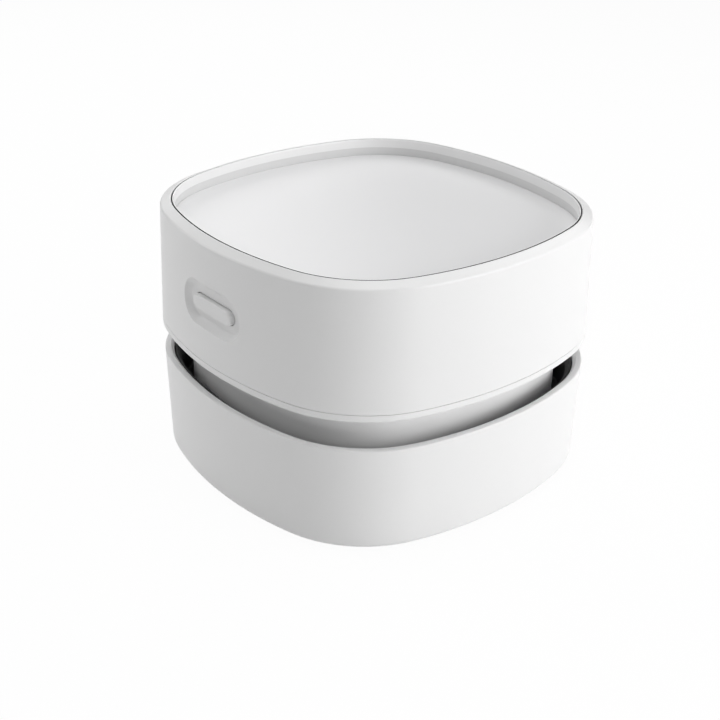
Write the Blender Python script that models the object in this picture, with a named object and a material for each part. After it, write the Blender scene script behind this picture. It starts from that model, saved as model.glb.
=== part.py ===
"""Desktop mini vacuum cleaner: a rounded-square head that plugs into a shallow dust cup.

The cup carries the black dust bin, the suction nozzle, the brush and the feet. The head carries
the motor, the fan, the filter, the battery, the boards, the push button and the shallow tray on
top. Air comes in at the nozzle, leaves the dust in the bin, passes the filter and the fan, and
blows out through the ports of the neck into the gap between the head and the cup.

Lengths are in metres, +Z is up, and the origin is on the desk under the middle of the cup. The
button is on the -Y side and the charging socket on the -X side.
"""
import math

import bmesh
import bpy
from mathutils import Vector

# Outline of the body: four bulging sides joined by four round corners
body_half_width = 0.0430
side_arc_radius = 0.0799
corner_arc_radius = 0.0267
side_steps = 6
corner_steps = 4

# Heights of the outside, from the desk up
foot_height = 0.0010
cup_height = 0.02335
exhaust_gap_height = 0.00631
base_band_height = 0.00158
shell_height = 0.02664
clearance = 0.0003
moving_clearance = 0.0003
cut_overrun = 0.0010

# Cup shell
cup_rim_inset = 0.00017
cup_foot_inset = 0.00077
cup_wall = 0.0019
cup_floor_thickness = 0.0022
cup_bottom_radius = 0.0015
cup_rim_edge = 0.0003
cup_rim_chamfer = 0.0006

# Head: the wall leans in towards the top
head_taper = 0.00094
shell_wall = 0.0020
shell_rim_width = 0.00234
shell_rim_radius = 0.00065
shell_rim_slope = 26.0
shell_rim_edge = 0.00015
shell_ledge_width = 0.0026
shell_ledge_thickness = 0.0012
round_steps = 4
edge_steps = 2

# Tray and panel in the top
tray_edge_drop = 0.00005
tray_edge_width = 0.00012
tray_edge_slope = 0.0004
tray_wall = 0.0003
tray_upper_depth = 0.00193
tray_undercut = 0.0001
tray_depth = 0.0037
tray_floor_thickness = 0.0009
panel_thickness = 0.0008

# Push button in its pocket on the -Y side
button_centre_x = 0.0
button_height = 0.01408
button_length = 0.01474
button_width = 0.00386
button_rise = 0.0010
button_edge = 0.0004
button_travel = 0.0008
button_flange_margin = 0.0011
button_flange_thickness = 0.0008
pocket_length = 0.0204
pocket_width = 0.0096
pocket_depth = 0.0013
pocket_slope = 0.0016
pocket_boss_margin = 0.0016
pocket_boss_thickness = 0.0010
pill_steps = 6

# Switch behind the button
switch_gap = 0.00035
switch_size = 0.0060
switch_depth = 0.0034
plunger_radius = 0.0017
plunger_length = 0.00145
plunger_reach = 0.00085
plunger_travel = 0.0005
plunger_end_room = 0.0002

# Head base
base_floor_thickness = 0.0018
base_edge_radius = 0.0006
base_lip_height = 0.0026
base_lip_wall = 0.0012
shaft_hole_radius = 0.0030
motor_seat_wall = 0.0015
motor_seat_height = 0.0035
clamp_post_radius = 0.0026
clamp_post_offset = 0.0175
board_rail_length = 0.0030
board_rail_thickness = 0.0016
board_rail_height = 0.0060
board_rail_offset = 0.0125
charge_post_size = 0.0040

# Motor
motor_radius = 0.0122
motor_can_height = 0.0120
motor_cap_radius = 0.0113
motor_cap_height = 0.0030
motor_edge = 0.0006
motor_gasket_height = 0.0010
motor_gasket_width = 0.0035
motor_shaft_radius = 0.0010
shaft_end_room = 0.0020
clamp_width = 0.0090
clamp_thickness = 0.0012
clamp_hole_radius = 0.0040
clamp_end_margin = 0.0035
turned_steps = 24

# Fan
impeller_radius = 0.0240
impeller_disc_thickness = 0.0012
impeller_hub_radius = 0.0048
impeller_hub_height = 0.0080
blade_count = 16
blade_height = 0.0056
blade_thickness = 0.0011
blade_inner_radius = 0.0105
blade_sweep_degrees = 38.0
blade_steps = 3
collar_radius = 0.0024
collar_height = 0.0060
inlet_radius = 0.0100
inlet_lip_height = 0.0012
inlet_lip_wall = 0.0012
shroud_thickness = 0.0012

# Neck, the pale housing of the fan that plugs into the dust bin
neck_inset = 0.00624
neck_wall = 0.0018
neck_ledge_width = 0.0020
neck_ledge_thickness = 0.0012
neck_lug_height = 0.0016
port_width = 0.0080
port_height = 0.0016
port_pitch = 0.0110
ports_per_side = 3

# Filter
filter_frame_height = 0.0031
filter_frame_bar = 0.01016
filter_pleat_count = 14
filter_pleat_height = 0.0022
filter_paper = 0.0006

# Dust bin and its seal
bin_wall = 0.0012
bin_rim_drop = 0.0011
bin_rim_width = 0.0004
bin_rim_slope = 0.0013
bin_collar_grip = 0.0036
bin_seat_width = 0.0021
seal_height = 0.0012
bin_floor_thickness = 0.0010
bin_boss_radius = 0.0024
bin_boss_height = 0.0032

# Suction nozzle and brush under the cup
nozzle_bore_radius = 0.0072
nozzle_wall = 0.0012
nozzle_mouth_flare = 0.0012
nozzle_flange_radius = 0.0135
nozzle_flange_thickness = 0.0008
nozzle_tube_height = 0.0050
brush_inner_radius = 0.0150
brush_width = 0.0030
brush_groove_depth = 0.0012
brush_desk_gap = 0.0003

# Feet and the screws of the cup
foot_radius = 0.0040
foot_pocket_depth = 0.0005
foot_corner_gap = 0.0110
cup_screw_gap = 0.0055
screw_shank_radius = 0.0011
screw_head_radius = 0.0020
screw_head_height = 0.0010
screw_steps = 10
screw_bite = 0.0026

# Case screws
case_screw_corner_gap = 0.0115
shell_boss_radius = 0.0028
shell_boss_height = 0.0120
shell_boss_rib = 0.0014
case_screw_bite = 0.0080

# Battery
cell_radius = 0.00825
cell_length = 0.0330
cell_edge = 0.0008
cell_tip_radius = 0.0028
cell_tip_length = 0.0010
cell_wall_gap = 0.0026
cradle_length = 0.0220
cradle_width = 0.0160
cradle_height = 0.0050
cradle_floor = 0.0012
pad_length = 0.0180
pad_width = 0.0080
pad_thickness = 0.0018

# Boards, socket and chip
board_thickness = 0.0012
main_board_length = 0.0300
main_board_height = 0.0170
chip_size = 0.0050
chip_thickness = 0.0012
chip_end_gap = 0.0060
charge_board_length = 0.0145
charge_board_width = 0.0160
charge_board_rise = 0.0024
socket_width = 0.0090
socket_height = 0.0032
socket_length = 0.0068
socket_wall = 0.0004
socket_setback = 0.0008
socket_tongue_width = 0.0064
socket_tongue_height = 0.0007
socket_tongue_length = 0.0044

# Leads inside the head
lead_radius = 0.00055
lead_spacing = 0.0018
lead_point_spacing = 0.0040


# Heights worked out from the sizes above
cup_bottom_z = foot_height
cup_floor_z = cup_bottom_z + cup_floor_thickness
cup_rim_z = cup_bottom_z + cup_height
head_bottom_z = cup_rim_z + exhaust_gap_height
seam_z = head_bottom_z + base_band_height
shell_bottom_z = seam_z + clearance / 2
top_z = seam_z + shell_height
base_floor_z = head_bottom_z + base_floor_thickness
tray_floor_z = top_z - tray_depth - panel_thickness - clearance
tray_bottom_z = tray_floor_z - tray_floor_thickness
ledge_top_z = tray_bottom_z - clearance

nozzle_flange_z = cup_floor_z + clearance
bin_bottom_z = nozzle_flange_z + nozzle_flange_thickness + clearance
bin_floor_z = bin_bottom_z + bin_floor_thickness
bin_seat_z = bin_bottom_z + nozzle_tube_height - clearance
bin_rim_z = cup_rim_z - bin_rim_drop
neck_top_z = head_bottom_z - clearance
neck_bottom_z = bin_seat_z + seal_height + 2 * clearance
bin_shelf_z = neck_bottom_z + bin_collar_grip
filter_bottom_z = neck_bottom_z + clearance
neck_ledge_z = filter_bottom_z + filter_frame_height + clearance
shroud_z = neck_ledge_z + neck_ledge_thickness + clearance
shroud_top_z = shroud_z + shroud_thickness
port_bottom_z = shroud_top_z + clearance
blade_bottom_z = shroud_top_z + 2 * moving_clearance
disc_bottom_z = blade_bottom_z + blade_height

motor_bottom_z = base_floor_z + motor_gasket_height + 2 * clearance
motor_cap_z = motor_bottom_z + motor_can_height + clearance
motor_top_z = motor_cap_z + motor_cap_height
clamp_z = motor_top_z + clearance
shaft_top_z = motor_bottom_z + motor_can_height - shaft_end_room

button_z = head_bottom_z + button_height

diagonal = math.sqrt(0.5)
outline_centre = body_half_width - side_arc_radius
outline_reach = side_arc_radius - corner_arc_radius
outline_corner = (outline_centre + math.sqrt(2 * outline_reach**2 - outline_centre**2)) / 2
body_diagonal = outline_corner / diagonal + corner_arc_radius
case_screw_diagonal = body_diagonal - case_screw_corner_gap
cup_screw_diagonal = brush_inner_radius + brush_width + cup_screw_gap
foot_diagonal = body_diagonal - foot_corner_gap
neck_lug_radius = body_diagonal - neck_inset - neck_wall / 2 - case_screw_diagonal


def head_inset(z):
    """How far the head's outside has leaned in at height z."""
    share = (z - head_bottom_z) / (top_z - head_bottom_z)
    return head_taper * share


def cup_inset(z):
    """How far the cup's outside is drawn in at height z."""
    share = (z - cup_bottom_z) / cup_height
    return cup_foot_inset + (cup_rim_inset - cup_foot_inset) * share


wall_at_button = body_half_width - head_inset(button_z)
pocket_floor_y = -(wall_at_button - pocket_depth)
button_boss_y = -(wall_at_button - shell_wall - pocket_boss_thickness)
flange_y = button_boss_y + clearance
flange_back_y = flange_y + button_flange_thickness
plunger_tip_y = flange_back_y + switch_gap
switch_y = plunger_tip_y + plunger_reach
board_y = switch_y + switch_depth + clearance
board_back_y = board_y + board_thickness
cell_y = body_half_width - shell_wall - cell_wall_gap - cell_radius
cell_z = base_floor_z + clearance + cradle_floor + clearance + cell_radius
charge_board_z = base_floor_z + charge_board_rise
socket_z = charge_board_z + board_thickness + clearance + socket_height / 2
socket_front_x = -(body_half_width - head_inset(socket_z) - socket_setback)
charge_board_x = -(body_half_width - shell_wall - base_lip_wall - 2 * clearance - head_taper)


# Materials


def material(name, colour, roughness, metallic=0.0):
    """A plain surface of one colour."""
    made = bpy.data.materials.new(name)
    made.use_nodes = True
    shader = made.node_tree.nodes["Principled BSDF"]
    shader.inputs["Base Color"].default_value = (*colour, 1.0)
    shader.inputs["Roughness"].default_value = roughness
    shader.inputs["Metallic"].default_value = metallic
    made.diffuse_color = (*colour, 1.0)
    return made


def make_materials():
    """Every surface of the object, by name."""
    return {
        "white_shell": material("white_shell", (0.86, 0.86, 0.86), 0.32),
        "white_panel": material("white_panel", (0.82, 0.82, 0.83), 0.12),
        "pale_neck": material("pale_neck", (0.62, 0.62, 0.63), 0.45),
        "black_plastic": material("black_plastic", (0.02, 0.02, 0.02), 0.40),
        "grey_plastic": material("grey_plastic", (0.30, 0.30, 0.31), 0.50),
        "black_rubber": material("black_rubber", (0.03, 0.03, 0.03), 0.80),
        "bristle": material("bristle", (0.06, 0.06, 0.06), 0.70),
        "filter_paper": material("filter_paper", (0.80, 0.80, 0.78), 0.90),
        "foam": material("foam", (0.12, 0.12, 0.12), 0.95),
        "steel": material("steel", (0.60, 0.60, 0.61), 0.28, 1.0),
        "dark_screw": material("dark_screw", (0.25, 0.25, 0.26), 0.35, 1.0),
        "brass": material("brass", (0.72, 0.55, 0.25), 0.30, 1.0),
        "cell_sleeve": material("cell_sleeve", (0.10, 0.22, 0.45), 0.35),
        "circuit_board": material("circuit_board", (0.04, 0.22, 0.10), 0.40),
        "chip": material("chip", (0.03, 0.03, 0.03), 0.35),
        "red_lead": material("red_lead", (0.55, 0.03, 0.03), 0.45),
        "black_lead": material("black_lead", (0.02, 0.02, 0.02), 0.45),
    }


# Mesh helpers


def squircle(inset, z):
    """The body outline drawn in evenly by inset, at height z, anticlockwise."""
    centre, corner = outline_centre, outline_corner
    turn = math.atan2(corner, corner - centre)
    side_radius = side_arc_radius - inset
    corner_radius = corner_arc_radius - inset
    quarter = []
    for step in range(side_steps):
        angle = turn * (2 * step / side_steps - 1)
        quarter.append((centre + side_radius * math.cos(angle), side_radius * math.sin(angle)))
    for step in range(corner_steps):
        angle = turn + (math.pi / 2 - 2 * turn) * step / corner_steps
        x = corner + corner_radius * math.cos(angle)
        y = corner + corner_radius * math.sin(angle)
        quarter.append((x, y))
    points = []
    for side in range(4):
        cos, sin = math.cos(side * math.pi / 2), math.sin(side * math.pi / 2)
        points += [Vector((x * cos - y * sin, x * sin + y * cos, z)) for x, y in quarter]
    return points


def circle(radius, z, steps=turned_steps, centre=(0.0, 0.0)):
    """Points of a circle about a vertical axis."""
    points = []
    for step in range(steps):
        angle = 2 * math.pi * step / steps
        x = centre[0] + radius * math.cos(angle)
        y = centre[1] + radius * math.sin(angle)
        points.append(Vector((x, y, z)))
    return points


def pill(length, width, y, centre_x, centre_z):
    """Points of an upright oblong with round ends, in the plane at y."""
    radius = width / 2
    reach = length / 2 - radius
    points = []
    for step in range(2 * pill_steps + 2):
        side = 1 if step <= pill_steps else -1
        turn = step if side > 0 else step - 1
        angle = math.pi * turn / pill_steps - math.pi / 2
        x = centre_x + side * reach + radius * math.cos(angle)
        z = centre_z + radius * math.sin(angle)
        points.append(Vector((x, y, z)))
    return points


def loft(loops, ring=False):
    """A closed mesh through loops of points, capped at both ends or closed into a ring."""
    shape = bmesh.new()
    rows = [[shape.verts.new(point) for point in loop] for loop in loops]
    count = len(rows[0])
    pairs = list(zip(rows, rows[1:]))
    if ring:
        pairs.append((rows[-1], rows[0]))
    else:
        shape.faces.new(rows[0])
        shape.faces.new(rows[-1])
    for low, high in pairs:
        for i in range(count):
            j = (i + 1) % count
            shape.faces.new((low[i], low[j], high[j], high[i]))
    bmesh.ops.recalc_face_normals(shape, faces=shape.faces)
    return shape


def finish_mesh(name, shape):
    """Turn a bmesh into mesh data with smooth round faces and sharp edges."""
    mesh = bpy.data.meshes.new(name)
    shape.to_mesh(mesh)
    shape.free()
    mesh.shade_smooth()
    mesh.set_sharp_from_angle(angle=math.radians(35))
    return mesh


def place(name, shape, surface, origin=(0.0, 0.0, 0.0)):
    """A named object whose own origin is at origin."""
    bmesh.ops.translate(shape, verts=shape.verts, vec=-Vector(origin))
    mesh = finish_mesh(name, shape)
    mesh.materials.append(surface)
    made = bpy.data.objects.new(name, mesh)
    made.location = origin
    bpy.context.scene.collection.objects.link(made)
    return made


def combine(target, shape, operation):
    """Cut a helper shape from target, or fuse it on. The helper is not part of the object."""
    helper = bpy.data.objects.new(target.name + "_" + operation.lower(), finish_mesh("helper", shape))
    helper.hide_render = True
    helper.display_type = "WIRE"
    bpy.context.scene.collection.objects.link(helper)
    modifier = target.modifiers.new(operation.title(), "BOOLEAN")
    modifier.operation = operation
    modifier.solver = "EXACT"
    modifier.object = helper


def cut(target, shape):
    """Take a shape away from target."""
    combine(target, shape, "DIFFERENCE")


def fuse(target, shape):
    """Add a shape that reaches into target."""
    combine(target, shape, "UNION")


def merge(shapes):
    """Several shapes in one bmesh, for a set of cuts that lie apart."""
    whole = bmesh.new()
    for shape in shapes:
        piece = bpy.data.meshes.new("piece")
        shape.to_mesh(piece)
        shape.free()
        whole.from_mesh(piece)
        bpy.data.meshes.remove(piece)
    return whole


def box(low, high):
    """A box between two corners."""
    (x0, y0, z0), (x1, y1, z1) = low, high
    bottom = [Vector(p) for p in ((x0, y0, z0), (x1, y0, z0), (x1, y1, z0), (x0, y1, z0))]
    top = [Vector((p.x, p.y, z1)) for p in bottom]
    return loft([bottom, top])


def cylinder(radius, z0, z1, steps=turned_steps, centre=(0.0, 0.0)):
    """An upright cylinder."""
    return loft([circle(radius, z0, steps, centre), circle(radius, z1, steps, centre)])


def turned(profile, steps=turned_steps, centre=(0.0, 0.0), ring=False):
    """A turned solid from (radius, z) pairs."""
    return loft([circle(radius, z, steps, centre) for radius, z in profile], ring)


def body_ring(profile):
    """A ring that follows the body outline, from (inset, z) pairs round its section."""
    return loft([squircle(inset, z) for inset, z in profile], ring=True)


def body_plate(profile):
    """A closed plate or dish that follows the body outline, from (inset, z) pairs."""
    return loft([squircle(inset, z) for inset, z in profile])


def arc(inset, z, radius, start, end, steps):
    """Section points on an arc about (inset, z), angles in degrees, inset growing inwards."""
    points = []
    for step in range(steps + 1):
        angle = math.radians(start + (end - start) * step / steps)
        points.append((inset - radius * math.cos(angle), z + radius * math.sin(angle)))
    return points


def corner_places(distance):
    """Four places on the diagonals, at a distance from the middle."""
    offset = distance * diagonal
    return [(offset, offset), (-offset, offset), (-offset, -offset), (offset, -offset)]


# Cup: outer shell, dust bin, nozzle, brush, feet


def make_cup_shell(surfaces):
    """White outer cup with a round lower edge, a flat rim and a closed floor."""
    foot = cup_inset(cup_bottom_z)
    rim = cup_inset(cup_rim_z)
    wall_foot = cup_inset(cup_floor_z) + cup_wall
    section = arc(foot + cup_bottom_radius, cup_bottom_z + cup_bottom_radius, cup_bottom_radius, -90, 0, round_steps)
    section += arc(rim + cup_rim_edge, cup_rim_z - cup_rim_edge, cup_rim_edge, 0, 90, edge_steps)
    section.append((rim + cup_wall - cup_rim_chamfer, cup_rim_z))
    section.append((rim + cup_wall, cup_rim_z - cup_rim_chamfer))
    section.append((wall_foot, cup_floor_z))
    shell = place("cup_shell", body_plate(section), surfaces["white_shell"])
    below = cup_bottom_z - cut_overrun
    groove_top = cup_bottom_z + brush_groove_depth
    mouth_radius = nozzle_bore_radius + nozzle_wall + nozzle_mouth_flare + clearance
    cut(shell, cylinder(mouth_radius, below, cup_floor_z + cut_overrun))
    groove = [
        (brush_inner_radius, below),
        (brush_inner_radius + brush_width, below),
        (brush_inner_radius + brush_width, groove_top),
        (brush_inner_radius, groove_top),
    ]
    cut(shell, turned(groove, ring=True))
    pockets = []
    for centre in corner_places(foot_diagonal):
        top = cup_bottom_z + foot_pocket_depth
        pockets.append(cylinder(foot_radius + clearance, below, top, screw_steps * 2, centre))
    cut(shell, merge(pockets))
    holes = []
    for centre in corner_places(cup_screw_diagonal):
        shoulder = cup_bottom_z + screw_head_height + clearance
        hole = [
            (screw_head_radius + clearance, below),
            (screw_head_radius + clearance, shoulder),
            (screw_shank_radius + clearance, shoulder),
            (screw_shank_radius + clearance, cup_floor_z + cut_overrun),
        ]
        holes.append(turned(hole, screw_steps, centre))
    cut(shell, merge(holes))


def make_dust_bin(surfaces):
    """Black stepped dish: a rim inside the cup's wall, a collar for the neck, a dust tray."""
    collar = neck_inset - clearance
    seat = collar + bin_seat_width
    shelf_under = bin_shelf_z - bin_wall
    seat_under = bin_seat_z - bin_wall

    def outside(z):
        return cup_inset(z) + cup_wall + clearance

    section = [
        (seat - bin_wall, bin_bottom_z),
        (seat - bin_wall, seat_under),
        (collar - bin_wall, seat_under),
        (collar - bin_wall, shelf_under),
        (outside(shelf_under), shelf_under),
        (outside(bin_rim_z), bin_rim_z),
        (outside(bin_rim_z) + bin_rim_width, bin_rim_z),
        (outside(bin_rim_z) + bin_wall, bin_rim_z - bin_rim_slope),
        (outside(bin_shelf_z) + bin_wall, bin_shelf_z),
        (collar, bin_shelf_z),
        (collar, bin_seat_z),
        (seat, bin_seat_z),
        (seat, bin_floor_z),
    ]
    dust_bin = place("dust_bin", body_plate(section), surfaces["black_plastic"])
    low = bin_bottom_z - cut_overrun
    for centre in corner_places(cup_screw_diagonal):
        boss_top = bin_floor_z + bin_boss_height
        middle = (bin_bottom_z + bin_floor_z) / 2
        fuse(dust_bin, cylinder(bin_boss_radius, middle, boss_top, screw_steps, centre))
    holes = [cylinder(nozzle_bore_radius + nozzle_wall + clearance, low, bin_floor_z + cut_overrun)]
    for centre in corner_places(cup_screw_diagonal):
        pilot_top = bin_floor_z + screw_bite
        holes.append(cylinder(screw_shank_radius + clearance, low, pilot_top, screw_steps, centre))
    cut(dust_bin, merge(holes))


def make_nozzle(surfaces):
    """Suction nozzle: flared mouth under the cup, flange on its floor, tube up into the bin."""
    outer = nozzle_bore_radius + nozzle_wall
    mouth = outer + nozzle_mouth_flare
    flange_top = nozzle_flange_z + nozzle_flange_thickness
    section = [
        (nozzle_bore_radius + nozzle_mouth_flare, cup_bottom_z),
        (mouth, cup_bottom_z),
        (mouth, nozzle_flange_z),
        (nozzle_flange_radius, nozzle_flange_z),
        (nozzle_flange_radius, flange_top),
        (outer, flange_top),
        (outer, bin_bottom_z + nozzle_tube_height),
        (nozzle_bore_radius, bin_bottom_z + nozzle_tube_height),
        (nozzle_bore_radius, nozzle_flange_z),
    ]
    place("nozzle", turned(section, ring=True), surfaces["black_plastic"])


def make_brush(surfaces):
    """Ring of bristles round the mouth, in its groove under the cup."""
    inner = brush_inner_radius + clearance
    outer = brush_inner_radius + brush_width - clearance
    top = cup_bottom_z + brush_groove_depth - clearance
    section = [(inner, brush_desk_gap), (outer, brush_desk_gap), (outer, top), (inner, top)]
    place("brush_ring", turned(section, ring=True), surfaces["bristle"])


def make_feet(surfaces):
    """Four round glides in their pockets under the cup's corners."""
    top = cup_bottom_z + foot_pocket_depth - clearance
    for number, centre in enumerate(corner_places(foot_diagonal), start=1):
        pad = cylinder(foot_radius, 0.0, top, screw_steps * 2, centre)
        place(f"foot_pad_{number}", pad, surfaces["black_rubber"], (*centre, 0.0))


def screw(name, centre, seat_z, length, surface, upward):
    """A screw whose head bears on seat_z, with its shank going up or down from there."""
    way = 1 if upward else -1
    profile = [
        (screw_head_radius, seat_z - way * screw_head_height),
        (screw_head_radius, seat_z),
        (screw_shank_radius, seat_z),
        (screw_shank_radius, seat_z + way * length),
    ]
    place(name, turned(profile, screw_steps, centre), surface, (*centre, seat_z))


def make_cup_screws(surfaces):
    """Screws from below that hold the dust bin in the cup."""
    seat = cup_bottom_z + screw_head_height
    length = bin_floor_z + screw_bite - clearance - seat
    for number, centre in enumerate(corner_places(cup_screw_diagonal), start=1):
        screw(f"cup_screw_{number}", centre, seat, length, surfaces["dark_screw"], True)


def make_seal(surfaces):
    """Rubber ring on the bin's seat, under the neck."""
    low = bin_seat_z + clearance
    high = low + seal_height
    section = [
        (neck_inset, low),
        (neck_inset, high),
        (neck_inset + neck_wall, high),
        (neck_inset + neck_wall, low),
    ]
    place("seal_ring", body_ring(section), surfaces["black_rubber"])


# Head, lower part: neck, filter, fan


def make_neck(surfaces):
    """Pale housing of the fan, with air ports low on its walls and lugs for the case screws."""
    inner = neck_inset + neck_wall
    ledge = inner + neck_ledge_width
    section = [
        (neck_inset, neck_bottom_z),
        (neck_inset, neck_top_z),
        (inner, neck_top_z),
        (inner, neck_ledge_z + neck_ledge_thickness),
        (ledge, neck_ledge_z + neck_ledge_thickness),
        (ledge, neck_ledge_z),
        (inner, neck_ledge_z),
        (inner, neck_bottom_z),
    ]
    neck = place("neck", body_ring(section), surfaces["pale_neck"])
    lug_z = neck_top_z - neck_lug_height
    wall_middle = body_half_width - neck_inset - neck_wall / 2
    for centre in corner_places(case_screw_diagonal):
        fuse(neck, cylinder(neck_lug_radius, lug_z, neck_top_z, screw_steps, centre))
    holes = []
    for centre in corner_places(case_screw_diagonal):
        low, high = lug_z - cut_overrun, neck_top_z + cut_overrun
        holes.append(cylinder(screw_shank_radius + clearance, low, high, screw_steps, centre))
    cut(neck, merge(holes))
    ports = []
    depth = neck_wall + side_arc_radius - math.sqrt(side_arc_radius**2 - (ports_per_side * port_pitch / 2) ** 2)
    for number in range(ports_per_side):
        middle = (number - (ports_per_side - 1) / 2) * port_pitch
        for side in (-1, 1):
            near, far = sorted((side * (wall_middle - depth), side * (wall_middle + depth)))
            low, high = port_bottom_z, port_bottom_z + port_height
            ports.append(box((middle - port_width / 2, near, low), (middle + port_width / 2, far, high)))
            ports.append(box((near, middle - port_width / 2, low), (far, middle + port_width / 2, high)))
    cut(neck, merge(ports))


def make_filter(surfaces):
    """Square-windowed frame in the foot of the neck, and the pleated paper in it."""
    outer = neck_inset + neck_wall + clearance
    top = filter_bottom_z + filter_frame_height
    frame_shape = body_plate([(outer, filter_bottom_z), (outer, top)])
    frame = place("filter_frame", frame_shape, surfaces["grey_plastic"])
    half = body_half_width - outer - filter_frame_bar
    low, high = filter_bottom_z - cut_overrun, top + cut_overrun
    cut(frame, box((-half, -half, low), (half, half, high)))
    reach = half - clearance
    pitch = 2 * reach / filter_pleat_count
    paper_low = (filter_bottom_z + top - filter_pleat_height) / 2
    rise = filter_pleat_height - filter_paper
    lower = []
    for fold in range(filter_pleat_count + 1):
        lower.append((-reach + fold * pitch, paper_low + rise * (fold % 2)))
    outline = lower + [(x, z + filter_paper) for x, z in reversed(lower)]
    ends = [[Vector((x, y, z)) for x, z in outline] for y in (-reach, reach)]
    place("filter_paper", loft(ends), surfaces["filter_paper"])


def make_shroud(surfaces):
    """Inlet plate under the fan, with a raised lip round its eye."""
    inset = neck_inset + neck_wall + clearance
    shroud = place("fan_shroud", body_plate([(inset, shroud_z), (inset, shroud_top_z)]), surfaces["grey_plastic"])
    lip = cylinder(inlet_radius + inlet_lip_wall, shroud_z - inlet_lip_height, shroud_z + clearance)
    fuse(shroud, lip)
    low, high = shroud_z - inlet_lip_height - cut_overrun, shroud_top_z + cut_overrun
    cut(shroud, cylinder(inlet_radius, low, high))


def make_fan(surfaces):
    """Impeller with swept blades under its disc, the brass collar and the motor's shaft."""
    disc_top = disc_bottom_z + impeller_disc_thickness
    hub_top = disc_top + impeller_hub_height - blade_height
    hub_bore = collar_radius + clearance
    overlap = impeller_disc_thickness / 2
    section = [
        (hub_bore, blade_bottom_z),
        (impeller_hub_radius, blade_bottom_z),
        (impeller_hub_radius, disc_bottom_z),
        (impeller_radius, disc_bottom_z),
        (impeller_radius, disc_top),
        (impeller_hub_radius, disc_top),
        (impeller_hub_radius, hub_top),
        (hub_bore, hub_top),
    ]
    impeller = place("impeller", turned(section, ring=True), surfaces["grey_plastic"])
    blades = []
    for number in range(blade_count):
        start = 2 * math.pi * number / blade_count
        middle = []
        for step in range(blade_steps + 1):
            share = step / blade_steps
            radius = blade_inner_radius + (impeller_radius - blade_thickness - blade_inner_radius) * share
            angle = start - math.radians(blade_sweep_degrees) * share
            middle.append(Vector((radius * math.cos(angle), radius * math.sin(angle), 0.0)))
        left, right = [], []
        for index, point in enumerate(middle):
            ahead = middle[min(index + 1, blade_steps)] - middle[max(index - 1, 0)]
            side = Vector((-ahead.y, ahead.x, 0.0)).normalized() * blade_thickness / 2
            left.append(point + side)
            right.append(point - side)
        outline = left + right[::-1]
        ends = [[p + Vector((0.0, 0.0, z)) for p in outline] for z in (blade_bottom_z, disc_bottom_z + overlap)]
        blades.append(loft(ends))
    fuse(impeller, merge(blades))
    collar_low = hub_top - collar_height
    bore = motor_shaft_radius + clearance
    collar = [(bore, collar_low), (collar_radius, collar_low), (collar_radius, hub_top), (bore, hub_top)]
    place("impeller_collar", turned(collar, screw_steps * 2, ring=True), surfaces["brass"])
    shaft = cylinder(motor_shaft_radius, blade_bottom_z, shaft_top_z, screw_steps)
    place("motor_shaft", shaft, surfaces["steel"])


# Head, inside: base, motor, battery, boards


def make_head_base(surfaces):
    """White plate under the shell: it closes the head and carries the motor and the boards."""
    under = head_inset(head_bottom_z)
    edge = arc(under + base_edge_radius, head_bottom_z + base_edge_radius, base_edge_radius, -90, 0, edge_steps)
    band_top = seam_z - clearance / 2
    lip_top = seam_z + base_lip_height
    lip = head_inset(lip_top) + shell_wall + clearance
    section = edge + [
        (head_inset(band_top), band_top),
        (lip, band_top),
        (lip, lip_top),
        (lip + base_lip_wall, lip_top),
        (lip + base_lip_wall, base_floor_z),
    ]
    base = place("head_base", body_plate(section), surfaces["white_shell"])
    sunk = base_floor_z - base_floor_thickness / 2
    seat_top = base_floor_z + motor_seat_height
    seat = motor_radius + clearance
    ring = [(seat, sunk), (seat + motor_seat_wall, sunk), (seat + motor_seat_wall, seat_top), (seat, seat_top)]
    fuse(base, turned(ring, ring=True))
    posts = []
    for side in (-1, 1):
        centre = (side * clamp_post_offset, 0.0)
        posts.append(cylinder(clamp_post_radius, sunk, motor_top_z, screw_steps, centre))
        rail_x = side * board_rail_offset
        for face in (board_y - clearance - board_rail_thickness, board_back_y + clearance):
            low = (rail_x - board_rail_length / 2, face, sunk)
            high = (rail_x + board_rail_length / 2, face + board_rail_thickness, base_floor_z + board_rail_height)
            posts.append(box(low, high))
        middle_x = charge_board_x + charge_board_length / 2
        middle_y = side * (charge_board_width - charge_post_size) / 2
        half = charge_post_size / 2
        low = (middle_x - half, middle_y - half, sunk)
        posts.append(box(low, (middle_x + half, middle_y + half, charge_board_z - clearance)))
    fuse(base, merge(posts))
    below = head_bottom_z - cut_overrun
    holes = [cylinder(shaft_hole_radius, below, base_floor_z + cut_overrun, screw_steps * 2)]
    for centre in corner_places(case_screw_diagonal):
        holes.append(cylinder(screw_shank_radius + clearance, below, base_floor_z + cut_overrun, screw_steps, centre))
    for side in (-1, 1):
        centre = (side * clamp_post_offset, 0.0)
        low = motor_top_z - case_screw_bite
        holes.append(cylinder(screw_shank_radius + clearance, low, motor_top_z + cut_overrun, screw_steps, centre))
    cut(base, merge(holes))


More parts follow.
